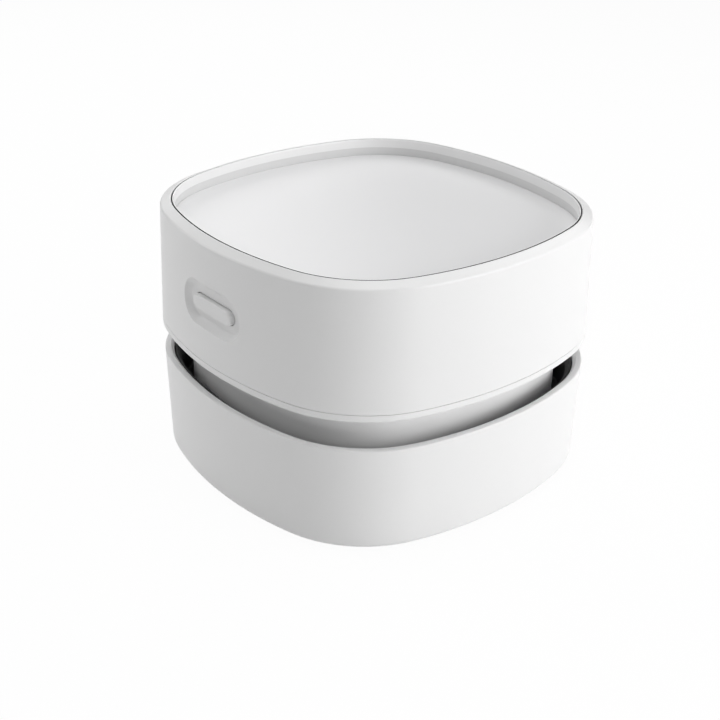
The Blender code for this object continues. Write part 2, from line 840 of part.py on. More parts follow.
def make_motor(surfaces):
    """Flat can motor on a rubber ring, its end cap, and the clamp bar over it."""
    low = base_floor_z + clearance
    inner = motor_radius - motor_gasket_width
    high = low + motor_gasket_height
    ring = [(inner, low), (motor_radius, low), (motor_radius, high), (inner, high)]
    place("motor_gasket", turned(ring, ring=True), surfaces["black_rubber"])
    top = motor_bottom_z + motor_can_height
    can_section = [
        (motor_radius - motor_edge, motor_bottom_z),
        (motor_radius, motor_bottom_z + motor_edge),
        (motor_radius, top - motor_edge),
        (motor_radius - motor_edge, top),
    ]
    can = place("motor_can", turned(can_section), surfaces["steel"])
    bore_top = shaft_top_z + clearance
    cut(can, cylinder(motor_shaft_radius + clearance, motor_bottom_z - cut_overrun, bore_top, screw_steps))
    cap_section = [
        (motor_cap_radius, motor_cap_z),
        (motor_cap_radius, motor_top_z - motor_edge),
        (motor_cap_radius - motor_edge, motor_top_z),
    ]
    place("motor_end_cap", turned(cap_section), surfaces["black_plastic"])
    reach = clamp_post_offset + clamp_end_margin
    clamp_top = clamp_z + clamp_thickness
    bar = box((-reach, -clamp_width / 2, clamp_z), (reach, clamp_width / 2, clamp_top))
    clamp = place("motor_clamp", bar, surfaces["steel"])
    holes = [cylinder(clamp_hole_radius, clamp_z - cut_overrun, clamp_top + cut_overrun, screw_steps * 2)]
    for side in (-1, 1):
        centre = (side * clamp_post_offset, 0.0)
        low, high = clamp_z - cut_overrun, clamp_top + cut_overrun
        holes.append(cylinder(screw_shank_radius + clearance, low, high, screw_steps, centre))
    cut(clamp, merge(holes))
    for number, side in enumerate((-1, 1), start=1):
        centre = (side * clamp_post_offset, 0.0)
        seat = clamp_top + clearance
        length = seat - motor_top_z + case_screw_bite - clearance
        screw(f"clamp_screw_{number}", centre, seat, length, surfaces["dark_screw"], False)


def make_battery(surfaces):
    """Round cell lying in its cradle behind the motor, with a foam pad on top."""
    spots = [(cell_radius - cell_edge, -cell_length / 2)]
    spots.append((cell_radius, -cell_length / 2 + cell_edge))
    spots.append((cell_radius, cell_length / 2 - cell_edge))
    spots.append((cell_radius - cell_edge, cell_length / 2))
    spots.append((cell_tip_radius, cell_length / 2))
    spots.append((cell_tip_radius, cell_length / 2 + cell_tip_length))
    cell = turned(spots)
    for vertex in cell.verts:
        x, y, z = vertex.co
        vertex.co = (z, y + cell_y, cell_z - x)
    bmesh.ops.recalc_face_normals(cell, faces=cell.faces)
    place("battery_cell", cell, surfaces["cell_sleeve"], (0.0, cell_y, cell_z))
    low = (-cradle_length / 2, cell_y - cradle_width / 2, base_floor_z + clearance)
    high = (cradle_length / 2, cell_y + cradle_width / 2, base_floor_z + clearance + cradle_height)
    cradle = place("battery_cradle", box(low, high), surfaces["black_plastic"])
    trough = cylinder(cell_radius + clearance, -cradle_length, cradle_length)
    for vertex in trough.verts:
        x, y, z = vertex.co
        vertex.co = (z, y + cell_y, cell_z - x)
    bmesh.ops.recalc_face_normals(trough, faces=trough.faces)
    cut(cradle, trough)
    pad_z = cell_z + cell_radius + clearance
    low = (-pad_length / 2, cell_y - pad_width / 2, pad_z)
    high = (pad_length / 2, cell_y + pad_width / 2, pad_z + pad_thickness)
    place("battery_pad", box(low, high), surfaces["foam"])


def make_boards(surfaces):
    """Upright main board with its chip and switch, and the flat charging board."""
    low = (-main_board_length / 2, board_y, base_floor_z + clearance)
    high = (main_board_length / 2, board_back_y, base_floor_z + clearance + main_board_height)
    place("main_board", box(low, high), surfaces["circuit_board"])
    chip_y = board_back_y + clearance
    chip_x = main_board_length / 2 - chip_end_gap
    low = (chip_x - chip_size / 2, chip_y, button_z - chip_size / 2)
    high = (chip_x + chip_size / 2, chip_y + chip_thickness, button_z + chip_size / 2)
    place("control_chip", box(low, high), surfaces["chip"])
    half = switch_size / 2
    low = (button_centre_x - half, switch_y, button_z - half)
    high = (button_centre_x + half, switch_y + switch_depth, button_z + half)
    body = place("switch_body", box(low, high), surfaces["black_plastic"])
    well = plunger_length - plunger_reach + plunger_travel + plunger_end_room
    size = 2 * (plunger_radius + clearance)
    ends = [pill(size, size, y, button_centre_x, button_z) for y in (switch_y - cut_overrun, switch_y + well)]
    cut(body, loft(ends))
    size = 2 * plunger_radius
    spots = (plunger_tip_y, plunger_tip_y + plunger_length)
    plunger = loft([pill(size, size, y, button_centre_x, button_z) for y in spots])
    place("switch_plunger", plunger, surfaces["grey_plastic"], (button_centre_x, plunger_tip_y, button_z))
    low = (charge_board_x, -charge_board_width / 2, charge_board_z)
    high = (charge_board_x + charge_board_length, charge_board_width / 2, charge_board_z + board_thickness)
    place("charge_board", box(low, high), surfaces["circuit_board"])


def socket_pill(width, height, x):
    """Points of the socket's oblong outline, in the plane at x."""
    return [Vector((x, point.x, point.z)) for point in pill(width, height, 0.0, 0.0, socket_z)]


def make_socket(surfaces):
    """Charging socket: an oblong metal mouth with its tongue, behind the opening in the shell."""
    back_x = socket_front_x + socket_length
    ends = [socket_pill(socket_width, socket_height, x) for x in (socket_front_x, back_x)]
    socket = place("usb_socket", loft(ends), surfaces["steel"])
    width, height = socket_width - 2 * socket_wall, socket_height - 2 * socket_wall
    floor_x = back_x - socket_wall * 2
    cut(socket, loft([socket_pill(width, height, x) for x in (socket_front_x - cut_overrun, floor_x)]))
    half_width, half_height = socket_tongue_width / 2, socket_tongue_height / 2
    low = (floor_x - socket_tongue_length, -half_width, socket_z - half_height)
    fuse(socket, box(low, (floor_x + socket_wall, half_width, socket_z + half_height)))


# Head, outside: shell, tray, panel, button


def make_upper_shell(surfaces):
    """White shell with its sloping rim, the ledge for the tray, the button pocket and bosses."""
    top = head_inset(top_z)
    rim = top + shell_rim_width
    ledge = rim + shell_ledge_width
    under_z = ledge_top_z - shell_ledge_thickness
    slope_z = under_z - shell_ledge_width
    section = [(head_inset(shell_bottom_z), shell_bottom_z)]
    facing = 90 - shell_rim_slope
    across, up = math.cos(math.radians(facing)), math.sin(math.radians(facing))
    fall = (rim - top - shell_rim_edge - shell_rim_radius) * across + shell_rim_radius - shell_rim_edge
    corner_z = top_z - shell_rim_edge - fall / up
    section += arc(top + shell_rim_radius, corner_z, shell_rim_radius, 0, facing, round_steps)
    section += arc(rim - shell_rim_edge, top_z - shell_rim_edge, shell_rim_edge, facing, 180, edge_steps)
    section += [
        (rim, ledge_top_z),
        (ledge, ledge_top_z),
        (ledge, under_z),
        (head_inset(slope_z) + shell_wall, slope_z),
        (head_inset(shell_bottom_z) + shell_wall, shell_bottom_z),
    ]
    shell = place("upper_shell", body_ring(section), surfaces["white_shell"])
    add_button_pocket(shell)
    add_case_bosses(shell)
    width, height = socket_width + 2 * clearance, socket_height + 2 * clearance
    reach = shell_wall + socket_setback
    spots = (socket_front_x - reach, socket_front_x + reach)
    cut(shell, loft([socket_pill(width, height, x) for x in spots]))


def add_button_pocket(shell):
    """Thicken the wall behind the button, sink the soft-edged pocket and open the button's hole."""
    wall_y = -wall_at_button
    inside_y = wall_y + shell_wall
    length, width = pocket_length + 2 * pocket_boss_margin, pocket_width + 2 * pocket_boss_margin
    spots = (inside_y - shell_wall / 2, button_boss_y)
    fuse(shell, loft([pill(length, width, y, button_centre_x, button_z) for y in spots]))
    loops = []
    for step in range(round_steps + 1):
        share = step / round_steps
        drawn_in = pocket_slope * math.sin(share * math.pi / 2)
        y = wall_y + pocket_depth * share
        loops.append(pill(pocket_length - drawn_in, pocket_width - drawn_in, y, button_centre_x, button_z))
    outside = pill(pocket_length, pocket_width, wall_y - cut_overrun, button_centre_x, button_z)
    cut(shell, loft([outside] + loops))
    length, width = button_length + 2 * clearance, button_width + 2 * clearance
    spots = (wall_y - cut_overrun, button_boss_y + cut_overrun)
    cut(shell, loft([pill(length, width, y, button_centre_x, button_z) for y in spots]))


def add_case_bosses(shell):
    """Bosses for the case screws, each on a rib from the corner of the wall."""
    low = base_floor_z + clearance
    high = low + shell_boss_height
    wall_diagonal = body_diagonal - head_inset(low) - shell_wall / 2
    pilot = []
    for number, centre in enumerate(corner_places(case_screw_diagonal)):
        fuse(shell, cylinder(shell_boss_radius, low, high, screw_steps, centre))
        angle = math.pi / 4 + number * math.pi / 2
        along = Vector((math.cos(angle), math.sin(angle), 0.0))
        across = Vector((-along.y, along.x, 0.0)) * shell_boss_rib / 2
        near = along * case_screw_diagonal
        far = along * wall_diagonal
        rib_low = seam_z + base_lip_height + clearance
        corners = [near - across, far - across, far + across, near + across]
        ends = [[p + Vector((0.0, 0.0, z)) for p in corners] for z in (rib_low, high - clearance)]
        fuse(shell, loft(ends))
        pilot_top = low + case_screw_bite
        pilot.append(cylinder(screw_shank_radius + clearance, low - cut_overrun, pilot_top, screw_steps, centre))
    cut(shell, merge(pilot))


def make_tray(surfaces):
    """Shallow tray in the shell's rim: thin edge, slightly undercut wall and flat floor."""
    outer = head_inset(top_z) + shell_rim_width + clearance
    edge_z = top_z - tray_edge_drop
    step_z = top_z - tray_upper_depth
    inner = outer + tray_wall
    lower = inner - tray_undercut
    section = [
        (outer, tray_bottom_z),
        (outer, edge_z),
        (outer + tray_edge_width, edge_z),
        (inner, edge_z - tray_edge_slope),
        (inner, step_z),
        (lower, step_z - tray_undercut),
        (lower, tray_floor_z),
    ]
    place("top_tray", body_plate(section), surfaces["white_shell"])
    panel = lower + clearance
    low = tray_floor_z + clearance
    place("top_panel", body_plate([(panel, low), (panel, low + panel_thickness)]), surfaces["white_panel"])


def make_button(surfaces):
    """Oblong push button with a flange behind the wall."""
    face_y = pocket_floor_y - button_rise
    loops = [
        pill(button_length - 2 * button_edge, button_width - 2 * button_edge, face_y, button_centre_x, button_z),
        pill(button_length, button_width, face_y + button_edge, button_centre_x, button_z),
        pill(button_length, button_width, flange_y, button_centre_x, button_z),
    ]
    length = button_length + 2 * button_flange_margin
    width = button_width + 2 * button_flange_margin
    loops += [pill(length, width, y, button_centre_x, button_z) for y in (flange_y, flange_back_y)]
    place("power_button", loft(loops), surfaces["white_shell"], (button_centre_x, face_y, button_z))


def make_case_screws(surfaces):
    """Screws that go up through the neck's lugs and the base into the shell's bosses."""
    seat = neck_top_z - neck_lug_height - clearance
    length = base_floor_z + case_screw_bite - clearance - seat
    for number, centre in enumerate(corner_places(case_screw_diagonal), start=1):
        screw(f"case_screw_{number}", centre, seat, length, surfaces["dark_screw"], True)


# Leads inside the head


def smooth_route(route):
    """Points along a smooth curve through the route's own points."""
    spots = [Vector(point) for point in route]
    spots = [2 * spots[0] - spots[1]] + spots + [2 * spots[-1] - spots[-2]]
    points = []
    for before, start, end, after in zip(spots, spots[1:], spots[2:], spots[3:]):
        steps = max(2, round((end - start).length / lead_point_spacing))
        for step in range(steps):
            t = step / steps
            value = 2 * start + (end - before) * t
            value += (2 * before - 5 * start + 4 * end - after) * t**2
            value += (3 * start - before - 3 * end + after) * t**3
            points.append(value / 2)
    points.append(spots[-2])
    return points


def make_lead(name, route, surface):
    """A round lead along its route."""
    curve = bpy.data.curves.new(name, "CURVE")
    curve.dimensions = "3D"
    curve.bevel_depth = lead_radius
    curve.bevel_resolution = 2
    curve.use_fill_caps = True
    points = smooth_route(route)
    spline = curve.splines.new("POLY")
    spline.points.add(len(points) - 1)
    for spot, point in zip(spline.points, points):
        spot.co = (*point, 1.0)
    curve.materials.append(surface)
    made = bpy.data.objects.new(name, curve)
    bpy.context.scene.collection.objects.link(made)


def make_leads(surfaces):
    """Leads from the battery, the motor and the charging board to the main board."""
    solder_y = board_back_y + clearance
    square_y = solder_y + lead_spacing
    past_post = clamp_post_offset + clamp_post_radius + 2 * lead_radius + lead_spacing
    for side, name in ((1, "red_lead"), (-1, "black_lead")):
        tip = cell_tip_length if side > 0 else 0.0
        cell_end = side * (cell_length / 2 + tip + clearance)
        low_z = cell_z - 2 * lead_spacing
        board_x = side * board_rail_offset / 2
        route = [
            (cell_end, cell_y, cell_z),
            (cell_end + side * lead_spacing, cell_y, cell_z),
            (cell_end + side * lead_spacing, cell_y - cell_radius, cell_z - lead_spacing),
            (side * past_post, 0.0, low_z),
            (side * motor_radius, board_back_y + cell_radius, low_z),
            (board_x, square_y, low_z),
            (board_x, solder_y, low_z),
        ]
        make_lead(f"battery_{name}", route, surfaces[name])
        x = side * 2 * lead_spacing
        start_y = -motor_cap_radius - clearance
        lead_z = motor_cap_z + motor_cap_height / 2
        route = [
            (x, start_y, lead_z),
            (x, start_y - lead_spacing, lead_z),
            (x, (start_y + solder_y) / 2, lead_z + lead_spacing),
            (x, square_y, lead_z),
            (x, solder_y, lead_z),
        ]
        make_lead(f"motor_{name}", route, surfaces[name])
        board_end = charge_board_x + charge_board_length + clearance
        height = charge_board_z + board_thickness / 2
        shift = side * lead_spacing / 2
        start_y = shift - charge_board_width / 3
        route = [
            (board_end, start_y, height),
            (board_end + 2 * lead_spacing + shift, start_y, height),
            (board_end + 2 * lead_spacing + shift, -motor_radius, height),
            (-motor_radius + shift, board_back_y + cell_radius, height),
            (-board_rail_offset / 2 + shift, square_y, height),
            (-board_rail_offset / 2 + shift, solder_y, height),
        ]
        make_lead(f"charge_{name}", route, surfaces[name])


def clear_scene():
    """Start from an empty scene."""
    for made in list(bpy.data.objects):
        bpy.data.objects.remove(made, do_unlink=True)


def main():
    """Build every piece, from the desk up."""
    clear_scene()
    surfaces = make_materials()
    make_cup_shell(surfaces)
    make_dust_bin(surfaces)
    make_nozzle(surfaces)
    make_brush(surfaces)
    make_feet(surfaces)
    make_cup_screws(surfaces)
    make_seal(surfaces)
    make_neck(surfaces)
    make_filter(surfaces)
    make_shroud(surfaces)
    make_fan(surfaces)
    make_head_base(surfaces)
    make_motor(surfaces)
    make_battery(surfaces)
    make_boards(surfaces)
    make_socket(surfaces)
    make_upper_shell(surfaces)
    make_tray(surfaces)
    make_button(surfaces)
    make_case_screws(surfaces)
    make_leads(surfaces)


if __name__ == "__main__":
    main()
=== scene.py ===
"""Looks of the desktop mini vacuum cleaner, built round its packed frame.

The visible pieces are modelled finely from the same sizes as the solids and stand for them. The
pieces inside keep their solids and get their finishes. Lengths are in metres, +Z is up, the
button is on the -Y side and the charging socket on the -X side.
"""
import math

import bmesh
import bpy
from bpy.props import FloatProperty, FloatVectorProperty, IntProperty, PointerProperty
from mathutils import Matrix, Vector


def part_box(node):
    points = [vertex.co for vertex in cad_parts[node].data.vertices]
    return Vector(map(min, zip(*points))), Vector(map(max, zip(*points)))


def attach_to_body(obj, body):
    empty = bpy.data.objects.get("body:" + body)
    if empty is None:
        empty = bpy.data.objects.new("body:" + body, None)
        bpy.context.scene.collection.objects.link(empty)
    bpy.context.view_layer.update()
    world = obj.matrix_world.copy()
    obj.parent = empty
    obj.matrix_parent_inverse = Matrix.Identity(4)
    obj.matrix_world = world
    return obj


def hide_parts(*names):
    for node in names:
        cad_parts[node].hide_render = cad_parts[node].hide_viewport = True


bl_info = {
    "name": "Desk vacuum",
    "version": (1, 0, 0),
    "blender": (4, 5, 0),
    "location": "3D View > Sidebar > Desk vacuum",
    "description": "Builds the pieces, the finishes and the stage of a small desk vacuum",
    "category": "Object",
}

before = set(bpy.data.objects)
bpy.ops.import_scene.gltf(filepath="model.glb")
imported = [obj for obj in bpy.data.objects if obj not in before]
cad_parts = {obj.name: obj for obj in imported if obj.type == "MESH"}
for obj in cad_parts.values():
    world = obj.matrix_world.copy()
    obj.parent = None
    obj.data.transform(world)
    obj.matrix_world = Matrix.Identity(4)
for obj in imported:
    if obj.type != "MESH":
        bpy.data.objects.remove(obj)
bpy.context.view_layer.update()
low_corner = {name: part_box(name)[0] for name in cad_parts}
high_corner = {name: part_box(name)[1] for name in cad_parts}


def length(name, description, default):
    """A length property."""
    return FloatProperty(name=name, description=description, default=default, unit="LENGTH", precision=5)


def number(name, description, default, **limits):
    """A property for a plain number or an angle in degrees."""
    return FloatProperty(name=name, description=description, default=default, **limits)


def count(name, description, default, least):
    """A property for a whole number."""
    return IntProperty(name=name, description=description, default=default, min=least)


def power(name, place, default):
    """A property for the power of a soft light."""
    description = f"Power of the light {place}"
    return FloatProperty(name=name, description=description, default=default, unit="POWER")


def colour(name, description, default):
    """A colour property."""
    return FloatVectorProperty(
        name=name, description=description, default=default, subtype="COLOR", size=3, min=0.0, max=1.0
    )


class DESKVAC_PG_body(bpy.types.PropertyGroup):
    """Outline, gap and edges that the pieces share"""

    half_width: length("Half width", "Half the width of the head at its foot", high_corner["head_base"].x)
    side_radius: length("Side radius", "Radius of the bulging sides", 0.0799)
    corner_radius: length("Corner radius", "Radius of the round corners", 0.0267)
    side_steps: count("Side steps", "Faces along one side", 40, 4)
    corner_steps: count("Corner steps", "Faces round one corner", 18, 4)
    taper: length("Taper", "How far the head leans in from foot to top", 0.00094)
    gap: length("Gap", "Room between pieces that touch", 0.0003)
    edge: length("Edge", "Rounding of the small moulded edges", 0.00012)


class DESKVAC_PG_cup(bpy.types.PropertyGroup):
    """Cup shell, dust bin and what is under them"""

    foot_inset: length("Foot inset", "How far the cup's foot is drawn in", 0.00077)
    rim_inset: length("Rim inset", "How far the cup's rim is drawn in", 0.00017)
    wall: length("Wall", "Thickness of the cup's wall", 0.0019)
    floor: length("Floor", "Thickness of the cup's floor", 0.0022)
    foot_radius: length("Foot radius", "Rounding of the cup's lower edge", 0.0015)
    rim_edge: length("Rim edge", "Rounding of the outer edge of the rim", 0.0003)
    rim_chamfer: length("Rim chamfer", "Slope on the inner edge of the rim", 0.0006)
    bin_wall: length("Bin wall", "Thickness of the dust bin", 0.0012)
    bin_rim_width: length("Bin rim", "Width of the bin's upper edge", 0.0004)
    bin_rim_slope: length("Bin rim slope", "Height of the slope inside the bin's upper edge", 0.0013)
    bin_collar_grip: length("Bin collar", "Height of the collar round the neck", 0.0036)
    bin_seat_width: length("Bin seat", "Width of the seat under the neck", 0.0021)
    boss_radius: length("Boss radius", "Radius of the screw bosses in the bin", 0.0024)
    boss_height: length("Boss height", "Height of the screw bosses in the bin", 0.0032)
    groove_inner: length("Groove inside", "Inner radius of the brush groove", 0.0150)
    groove_outer: length("Groove outside", "Outer radius of the brush groove", 0.0180)
    groove_depth: length("Groove depth", "Depth of the brush groove", 0.0012)
    foot_pocket: length("Foot pocket", "Depth of the pockets for the glides", 0.0005)
    nozzle_bore: length("Nozzle bore", "Radius of the suction tube's bore", 0.0072)
    nozzle_wall: length("Nozzle wall", "Thickness of the suction tube", 0.0012)
    nozzle_flare: length("Nozzle flare", "How far the mouth widens at the desk", 0.0012)
    flange_thickness: length("Flange", "Thickness of the nozzle's flange", 0.0008)
    bristle_rows: count("Bristle rows", "Rings of bristles in the brush", 6, 1)
    bristle_count: count("Bristles in a row", "Bristles in one ring", 150, 8)
    bristle_width: length("Bristle width", "Width of one bristle", 0.00016)


class DESKVAC_PG_neck(bpy.types.PropertyGroup):
    """Neck with its air ports"""

    inset: length("Inset", "How far the neck stands in from the body", 0.00624)
    wall: length("Wall", "Thickness of the neck", 0.0018)
    ledge_width: length("Ledge width", "Width of the ledge inside", 0.0020)
    ledge_thickness: length("Ledge thickness", "Thickness of the ledge inside", 0.0012)
    port_width: length("Port width", "Width of an air port", 0.0080)
    port_height: length("Port height", "Height of an air port", 0.0016)
    port_pitch: length("Port pitch", "Spacing of the air ports", 0.0110)
    port_low: length("Port height from desk", "Lower edge of the air ports", 0.0178)
    port_count: count("Ports", "Air ports on each side", 3, 1)


class DESKVAC_PG_head(bpy.types.PropertyGroup):
    """Shell, base and tray of the head"""

    wall: length("Wall", "Thickness of the shell", 0.0020)
    rim_radius: length("Rim radius", "Rounding of the rim's outer edge", 0.00065)
    rim_slope: number("Rim slope", "Fall of the rim in degrees", 25.0, min=1.0)
    rim_width: length("Rim width", "Width of the top rim", 0.00234)
    rim_edge: length("Rim edge", "Rounding of the inner edge of the rim", 0.00018)
    ledge_width: length("Ledge width", "Width of the ledge under the tray", 0.0026)
    ledge_thickness: length("Ledge thickness", "Thickness of the ledge under the tray", 0.0012)
    base_band: length("Base band", "Height of the band under the seam", 0.00163)
    base_floor: length("Base floor", "Thickness of the base", 0.0018)
    base_edge: length("Base edge", "Rounding of the base's lower edge", 0.0006)
    base_lip: length("Base lip", "Height of the lip inside the shell", 0.0026)
    base_lip_wall: length("Lip wall", "Thickness of the lip inside the shell", 0.0012)
    tray_edge: length("Tray edge", "Width of the tray's thin edge", 0.00018)
    tray_edge_drop: length("Tray edge drop", "How far the tray's edge lies below its solid", 0.00002)
    tray_wall: length("Tray wall", "Thickness of the tray's upper wall", 0.00024)
    tray_edge_slope: length("Tray edge slope", "Height of the slope inside the tray's edge", 0.0003)
    tray_upper: length("Tray upper wall", "Depth of the tray's upper wall below the rim", 0.00206)
    tray_undercut: length("Tray undercut", "How far the tray's lower wall leans out to its foot", 0.0005)
    tray_sunk: length("Panel depth", "How far the tray's floor lies below its solid", 0.00035)
    lip_depth: length("Lip depth", "Height of the rim's lip over the tray's flare", 0.0012)
    lip_slope: length("Lip slope", "Slope under the rim's lip", 0.0006)
    # The dark strip round the tray stands in its groove as painted shade
    groove_shade_width: length("Groove shade width", "Thickness of the dark strip round the tray", 0.00006)
    groove_shade_drop: length("Groove shade drop", "Depth of the strip's edge below the rim", 0.00006)
    groove_shade_height: length("Groove shade height", "Height of the strip round the tray", 0.0012)
    wall_rows: count("Wall rows", "Faces up the shell's wall", 24, 20)


class DESKVAC_PG_button(bpy.types.PropertyGroup):
    """Push button and its pocket"""

    core: length("Core", "Half length of the straight part of the button", 0.00515)
    radius: length("Radius", "Radius of the button's round ends", 0.00158)
    aside: length("Aside", "How far the button lies to the right of the side's middle", -0.00035)
    drop: length("Drop", "How far the button lies below the pocket's middle", 0.0003)
    gap: length("Gap", "Gap round the button", 0.00014)
    edge: length("Edge", "Rounding of the button's edge", 0.00046)
    sunk: length("Sunk", "How far the button's face lies behind its solid's", 0.0002)
    crown: length("Crown", "How far the button's face bulges", 0.00006)
    pocket_radius: length("Pocket radius", "Radius of the pocket's round ends", 0.0049)
    pocket_foot: length("Pocket foot", "Radius at which the pocket's floor starts", 0.0034)
    pocket_depth: length("Pocket depth", "Depth of the pocket", 0.0016)
    pocket_soft: number("Pocket edge", "Share of the slope taken by its soft edge", 0.15)
    pocket_power: number("Pocket curve", "How steeply the pocket starts at its edge", 1.7, min=1.0)
    flange: length("Flange", "How far the flange stands out behind the wall", 0.0011)
    flange_thickness: length("Flange thickness", "Thickness of the flange", 0.0008)
    boss: length("Boss", "How far the wall is thickened behind the button", 0.0010)


class DESKVAC_PG_finish(bpy.types.PropertyGroup):
    """Colours of the finishes"""

    white: colour("White", "Satin white of the shells", (0.80, 0.80, 0.80))
    # Brighter than the shell's white: painted light on the tray's recess walls
    tray: colour("Tray", "White of the tray", (0.86, 0.86, 0.86))
    panel: colour("Panel", "Smooth floor of the tray", (0.775, 0.775, 0.78))
    # Brighter than the shell's white: painted light in the shaded gap round the neck
    neck: colour("Neck", "Pale grey of the neck", (0.92, 0.92, 0.92))
    black: colour("Black", "Black plastic", (0.020, 0.020, 0.020))
    grey: colour("Grey", "Grey plastic of the inner frames", (0.30, 0.30, 0.31))
    # Rubber also colours the black strip of painted shade in the tray's groove
    rubber: colour("Rubber", "Glides, seal and gasket", (0.03, 0.03, 0.03))
    bristle: colour("Bristle", "Bristles of the brush", (0.06, 0.06, 0.06))
    steel: colour("Steel", "Plated steel", (0.60, 0.60, 0.61))
    screw: colour("Screw", "Blackened screws", (0.25, 0.25, 0.26))
    brass: colour("Brass", "Turned brass", (0.72, 0.55, 0.25))
    paper: colour("Paper", "Filter paper", (0.80, 0.80, 0.78))
    foam: colour("Foam", "Foam pad", (0.12, 0.12, 0.12))
    sleeve: colour("Sleeve", "Sleeve of the cell", (0.10, 0.22, 0.45))
    board: colour("Board", "Solder resist of the boards", (0.04, 0.22, 0.10))
    red: colour("Red lead", "Insulation of the red leads", (0.55, 0.03, 0.03))


class DESKVAC_PG_stage(bpy.types.PropertyGroup):
    """Camera, floor and lights"""

    azimuth: FloatProperty(name="Azimuth", description="Camera's turn round the object", default=50.437)
    elevation: FloatProperty(name="Elevation", description="Camera's angle above the desk", default=27.129)
    roll: FloatProperty(name="Roll", description="Camera's tilt about its own axis", default=0.903)
    distance: length("Distance", "Camera's distance from its target", 0.2808)
    target_side: length("Target side", "How far the target lies to the camera's right", -0.002705)
    target_height: length("Target height", "Height of the target above the desk", 0.02026)
    lens: FloatProperty(name="Lens", description="Focal length in millimetres", default=61.77)
    floor: colour("Floor", "Colour of the floor", (0.90, 0.90, 0.90))
    floor_white: FloatProperty(
        name="Floor white", description="Share of plain white in the floor as the camera sees it", default=0.96
    )
    sky: FloatProperty(name="Sky", description="Strength of the even light", default=0.005)
    key: power("Key", "low on the right", 1.18)
    rim: power("Rim", "behind on the right", 0.95)
    fill: power("Fill", "on the left", 0.64)
    low: power("Low", "low on the left", 0.38)
    near: power("Near", "beside the camera", 0.32)
    front: power("Front", "above the camera", 0.45)
    top: power("Top", "from above", 0.88)
    sheen: power("Sheen", "mirrored in the tray's floor", 0.28)
    back: power("Back", "low behind on the left", 0.51)
    rear: power("Rear", "behind", 0.55)
    lamp_size: length("Lamp size", "Width of every soft light", 0.35)
    lamp_distance: length("Lamp distance", "Distance of every light from the object", 0.55)


def group_of(name):
    """One of the scene's groups of sizes, colours or lights."""
    return getattr(bpy.context.scene, "deskvac_" + name)


def tints():
    """The colours of the finishes."""
    return group_of("finish")


# Outlines and sections


def outline(inset, z):
    """The body's outline drawn in evenly by inset at height z, anticlockwise from the +X side."""
    body = group_of("body")
    centre = body.half_width - body.side_radius
    reach = body.side_radius - body.corner_radius
    corner = (centre + math.sqrt(2 * reach**2 - centre**2)) / 2
    turn = math.atan2(corner, corner - centre)
    side_radius, corner_radius = body.side_radius - inset, body.corner_radius - inset
    quarter = []
    for step in range(body.side_steps):
        angle = turn * (2 * step / body.side_steps - 1)
        quarter.append((centre + side_radius * math.cos(angle), side_radius * math.sin(angle)))
    for step in range(body.corner_steps):
        angle = turn + (math.pi / 2 - 2 * turn) * step / body.corner_steps
        quarter.append((corner + corner_radius * math.cos(angle), corner + corner_radius * math.sin(angle)))
    points = []
    for side in range(4):
        cos, sin = (1, 0, -1, 0)[side], (0, 1, 0, -1)[side]
        points += [Vector((x * cos - y * sin, x * sin + y * cos, z)) for x, y in quarter]
    return points


def wall_reach(inset, across):
    """Distance of a side's wall from the middle, at a distance across it."""
    body = group_of("body")
    return body.half_width - body.side_radius + math.sqrt((body.side_radius - inset) ** 2 - across**2)


def corner_reach(inset):
    """Distance of the middle of a corner from the upright axis."""
    body = group_of("body")
    return outline(inset, 0.0)[body.side_steps + body.corner_steps // 2].length


def circle(radius, z, steps, centre):
    """Points of a circle about an upright axis."""
    points = []
    for step in range(steps):
        angle = 2 * math.pi * step / steps
        x, y = centre[0] + radius * math.cos(angle), centre[1] + radius * math.sin(angle)
        points.append(Vector((x, y, z)))
    return points


def pill(core, radius, depth, middle, steps=20, straight=8):
    """Points of an upright oblong with round ends: core is half its straight part."""
    points = []
    for side in (1, -1):
        for step in range(steps + 1):
            angle = math.pi * step / steps - side * math.pi / 2
            x = side * core + radius * math.cos(angle)
            points.append(Vector((x, depth, middle + radius * math.sin(angle))))
        for step in range(1, straight):
            x = side * core * (1 - 2 * step / straight)
            points.append(Vector((x, depth, middle + side * radius)))
    return points


def rounded(corners, closed=True, steps=5):
    """Points of a section from its corners (a, b, radius), each corner rounded off."""
    points = []
    count = len(corners)
    for index, (a, b, radius) in enumerate(corners):
        here = Vector((a, b))
        if not radius or (not closed and index in (0, count - 1)):
            points.append((a, b))
            continue
        before = (Vector(corners[index - 1][:2]) - here).normalized()
        after = (Vector(corners[(index + 1) % count][:2]) - here).normalized()
        half = before.angle(after) / 2
        centre = here + (before + after).normalized() * radius / math.sin(half)
        start = here + before * radius / math.tan(half) - centre
        end = here + after * radius / math.tan(half) - centre
        turn = math.atan2(start.x * end.y - start.y * end.x, start.dot(end))
        for step in range(steps + 1):
            spot = centre + Matrix.Rotation(turn * step / steps, 2) @ start
            points.append((spot.x, spot.y))
    return points


# Meshes


def add_quads(shape, rows):
    """Quads between neighbouring rows of vertices, each row closed on itself."""
    for low, high in zip(rows, rows[1:]):
        for here in range(len(low)):
            after = (here + 1) % len(low)
            shape.faces.new((low[here], low[after], high[after], high[here]))


def add_loops(shape, loops, ring=False):
    """Skin loops of points in a bmesh, closed into a ring or capped at both ends."""
    rows = [[shape.verts.new(point) for point in loop] for loop in loops]
    if not ring:
        shape.faces.new(rows[0])
        shape.faces.new(rows[-1])
    add_quads(shape, rows + [rows[0]] if ring else rows)
    return rows


def loft(loops, ring=False):
    """A closed bmesh through loops of points."""
    shape = bmesh.new()
    add_loops(shape, loops, ring)
    bmesh.ops.recalc_face_normals(shape, faces=shape.faces)
    return shape


def body_shape(section, ring=True):
    """A piece that follows the body's outline, from the (inset, z) points of its section."""
    return loft([outline(inset, z) for inset, z in section], ring)


def turned(section, steps=96, centre=(0.0, 0.0), ring=False):
    """A turned piece from the (radius, z) points of its section."""
    return loft([circle(radius, z, steps, centre) for radius, z in section], ring)


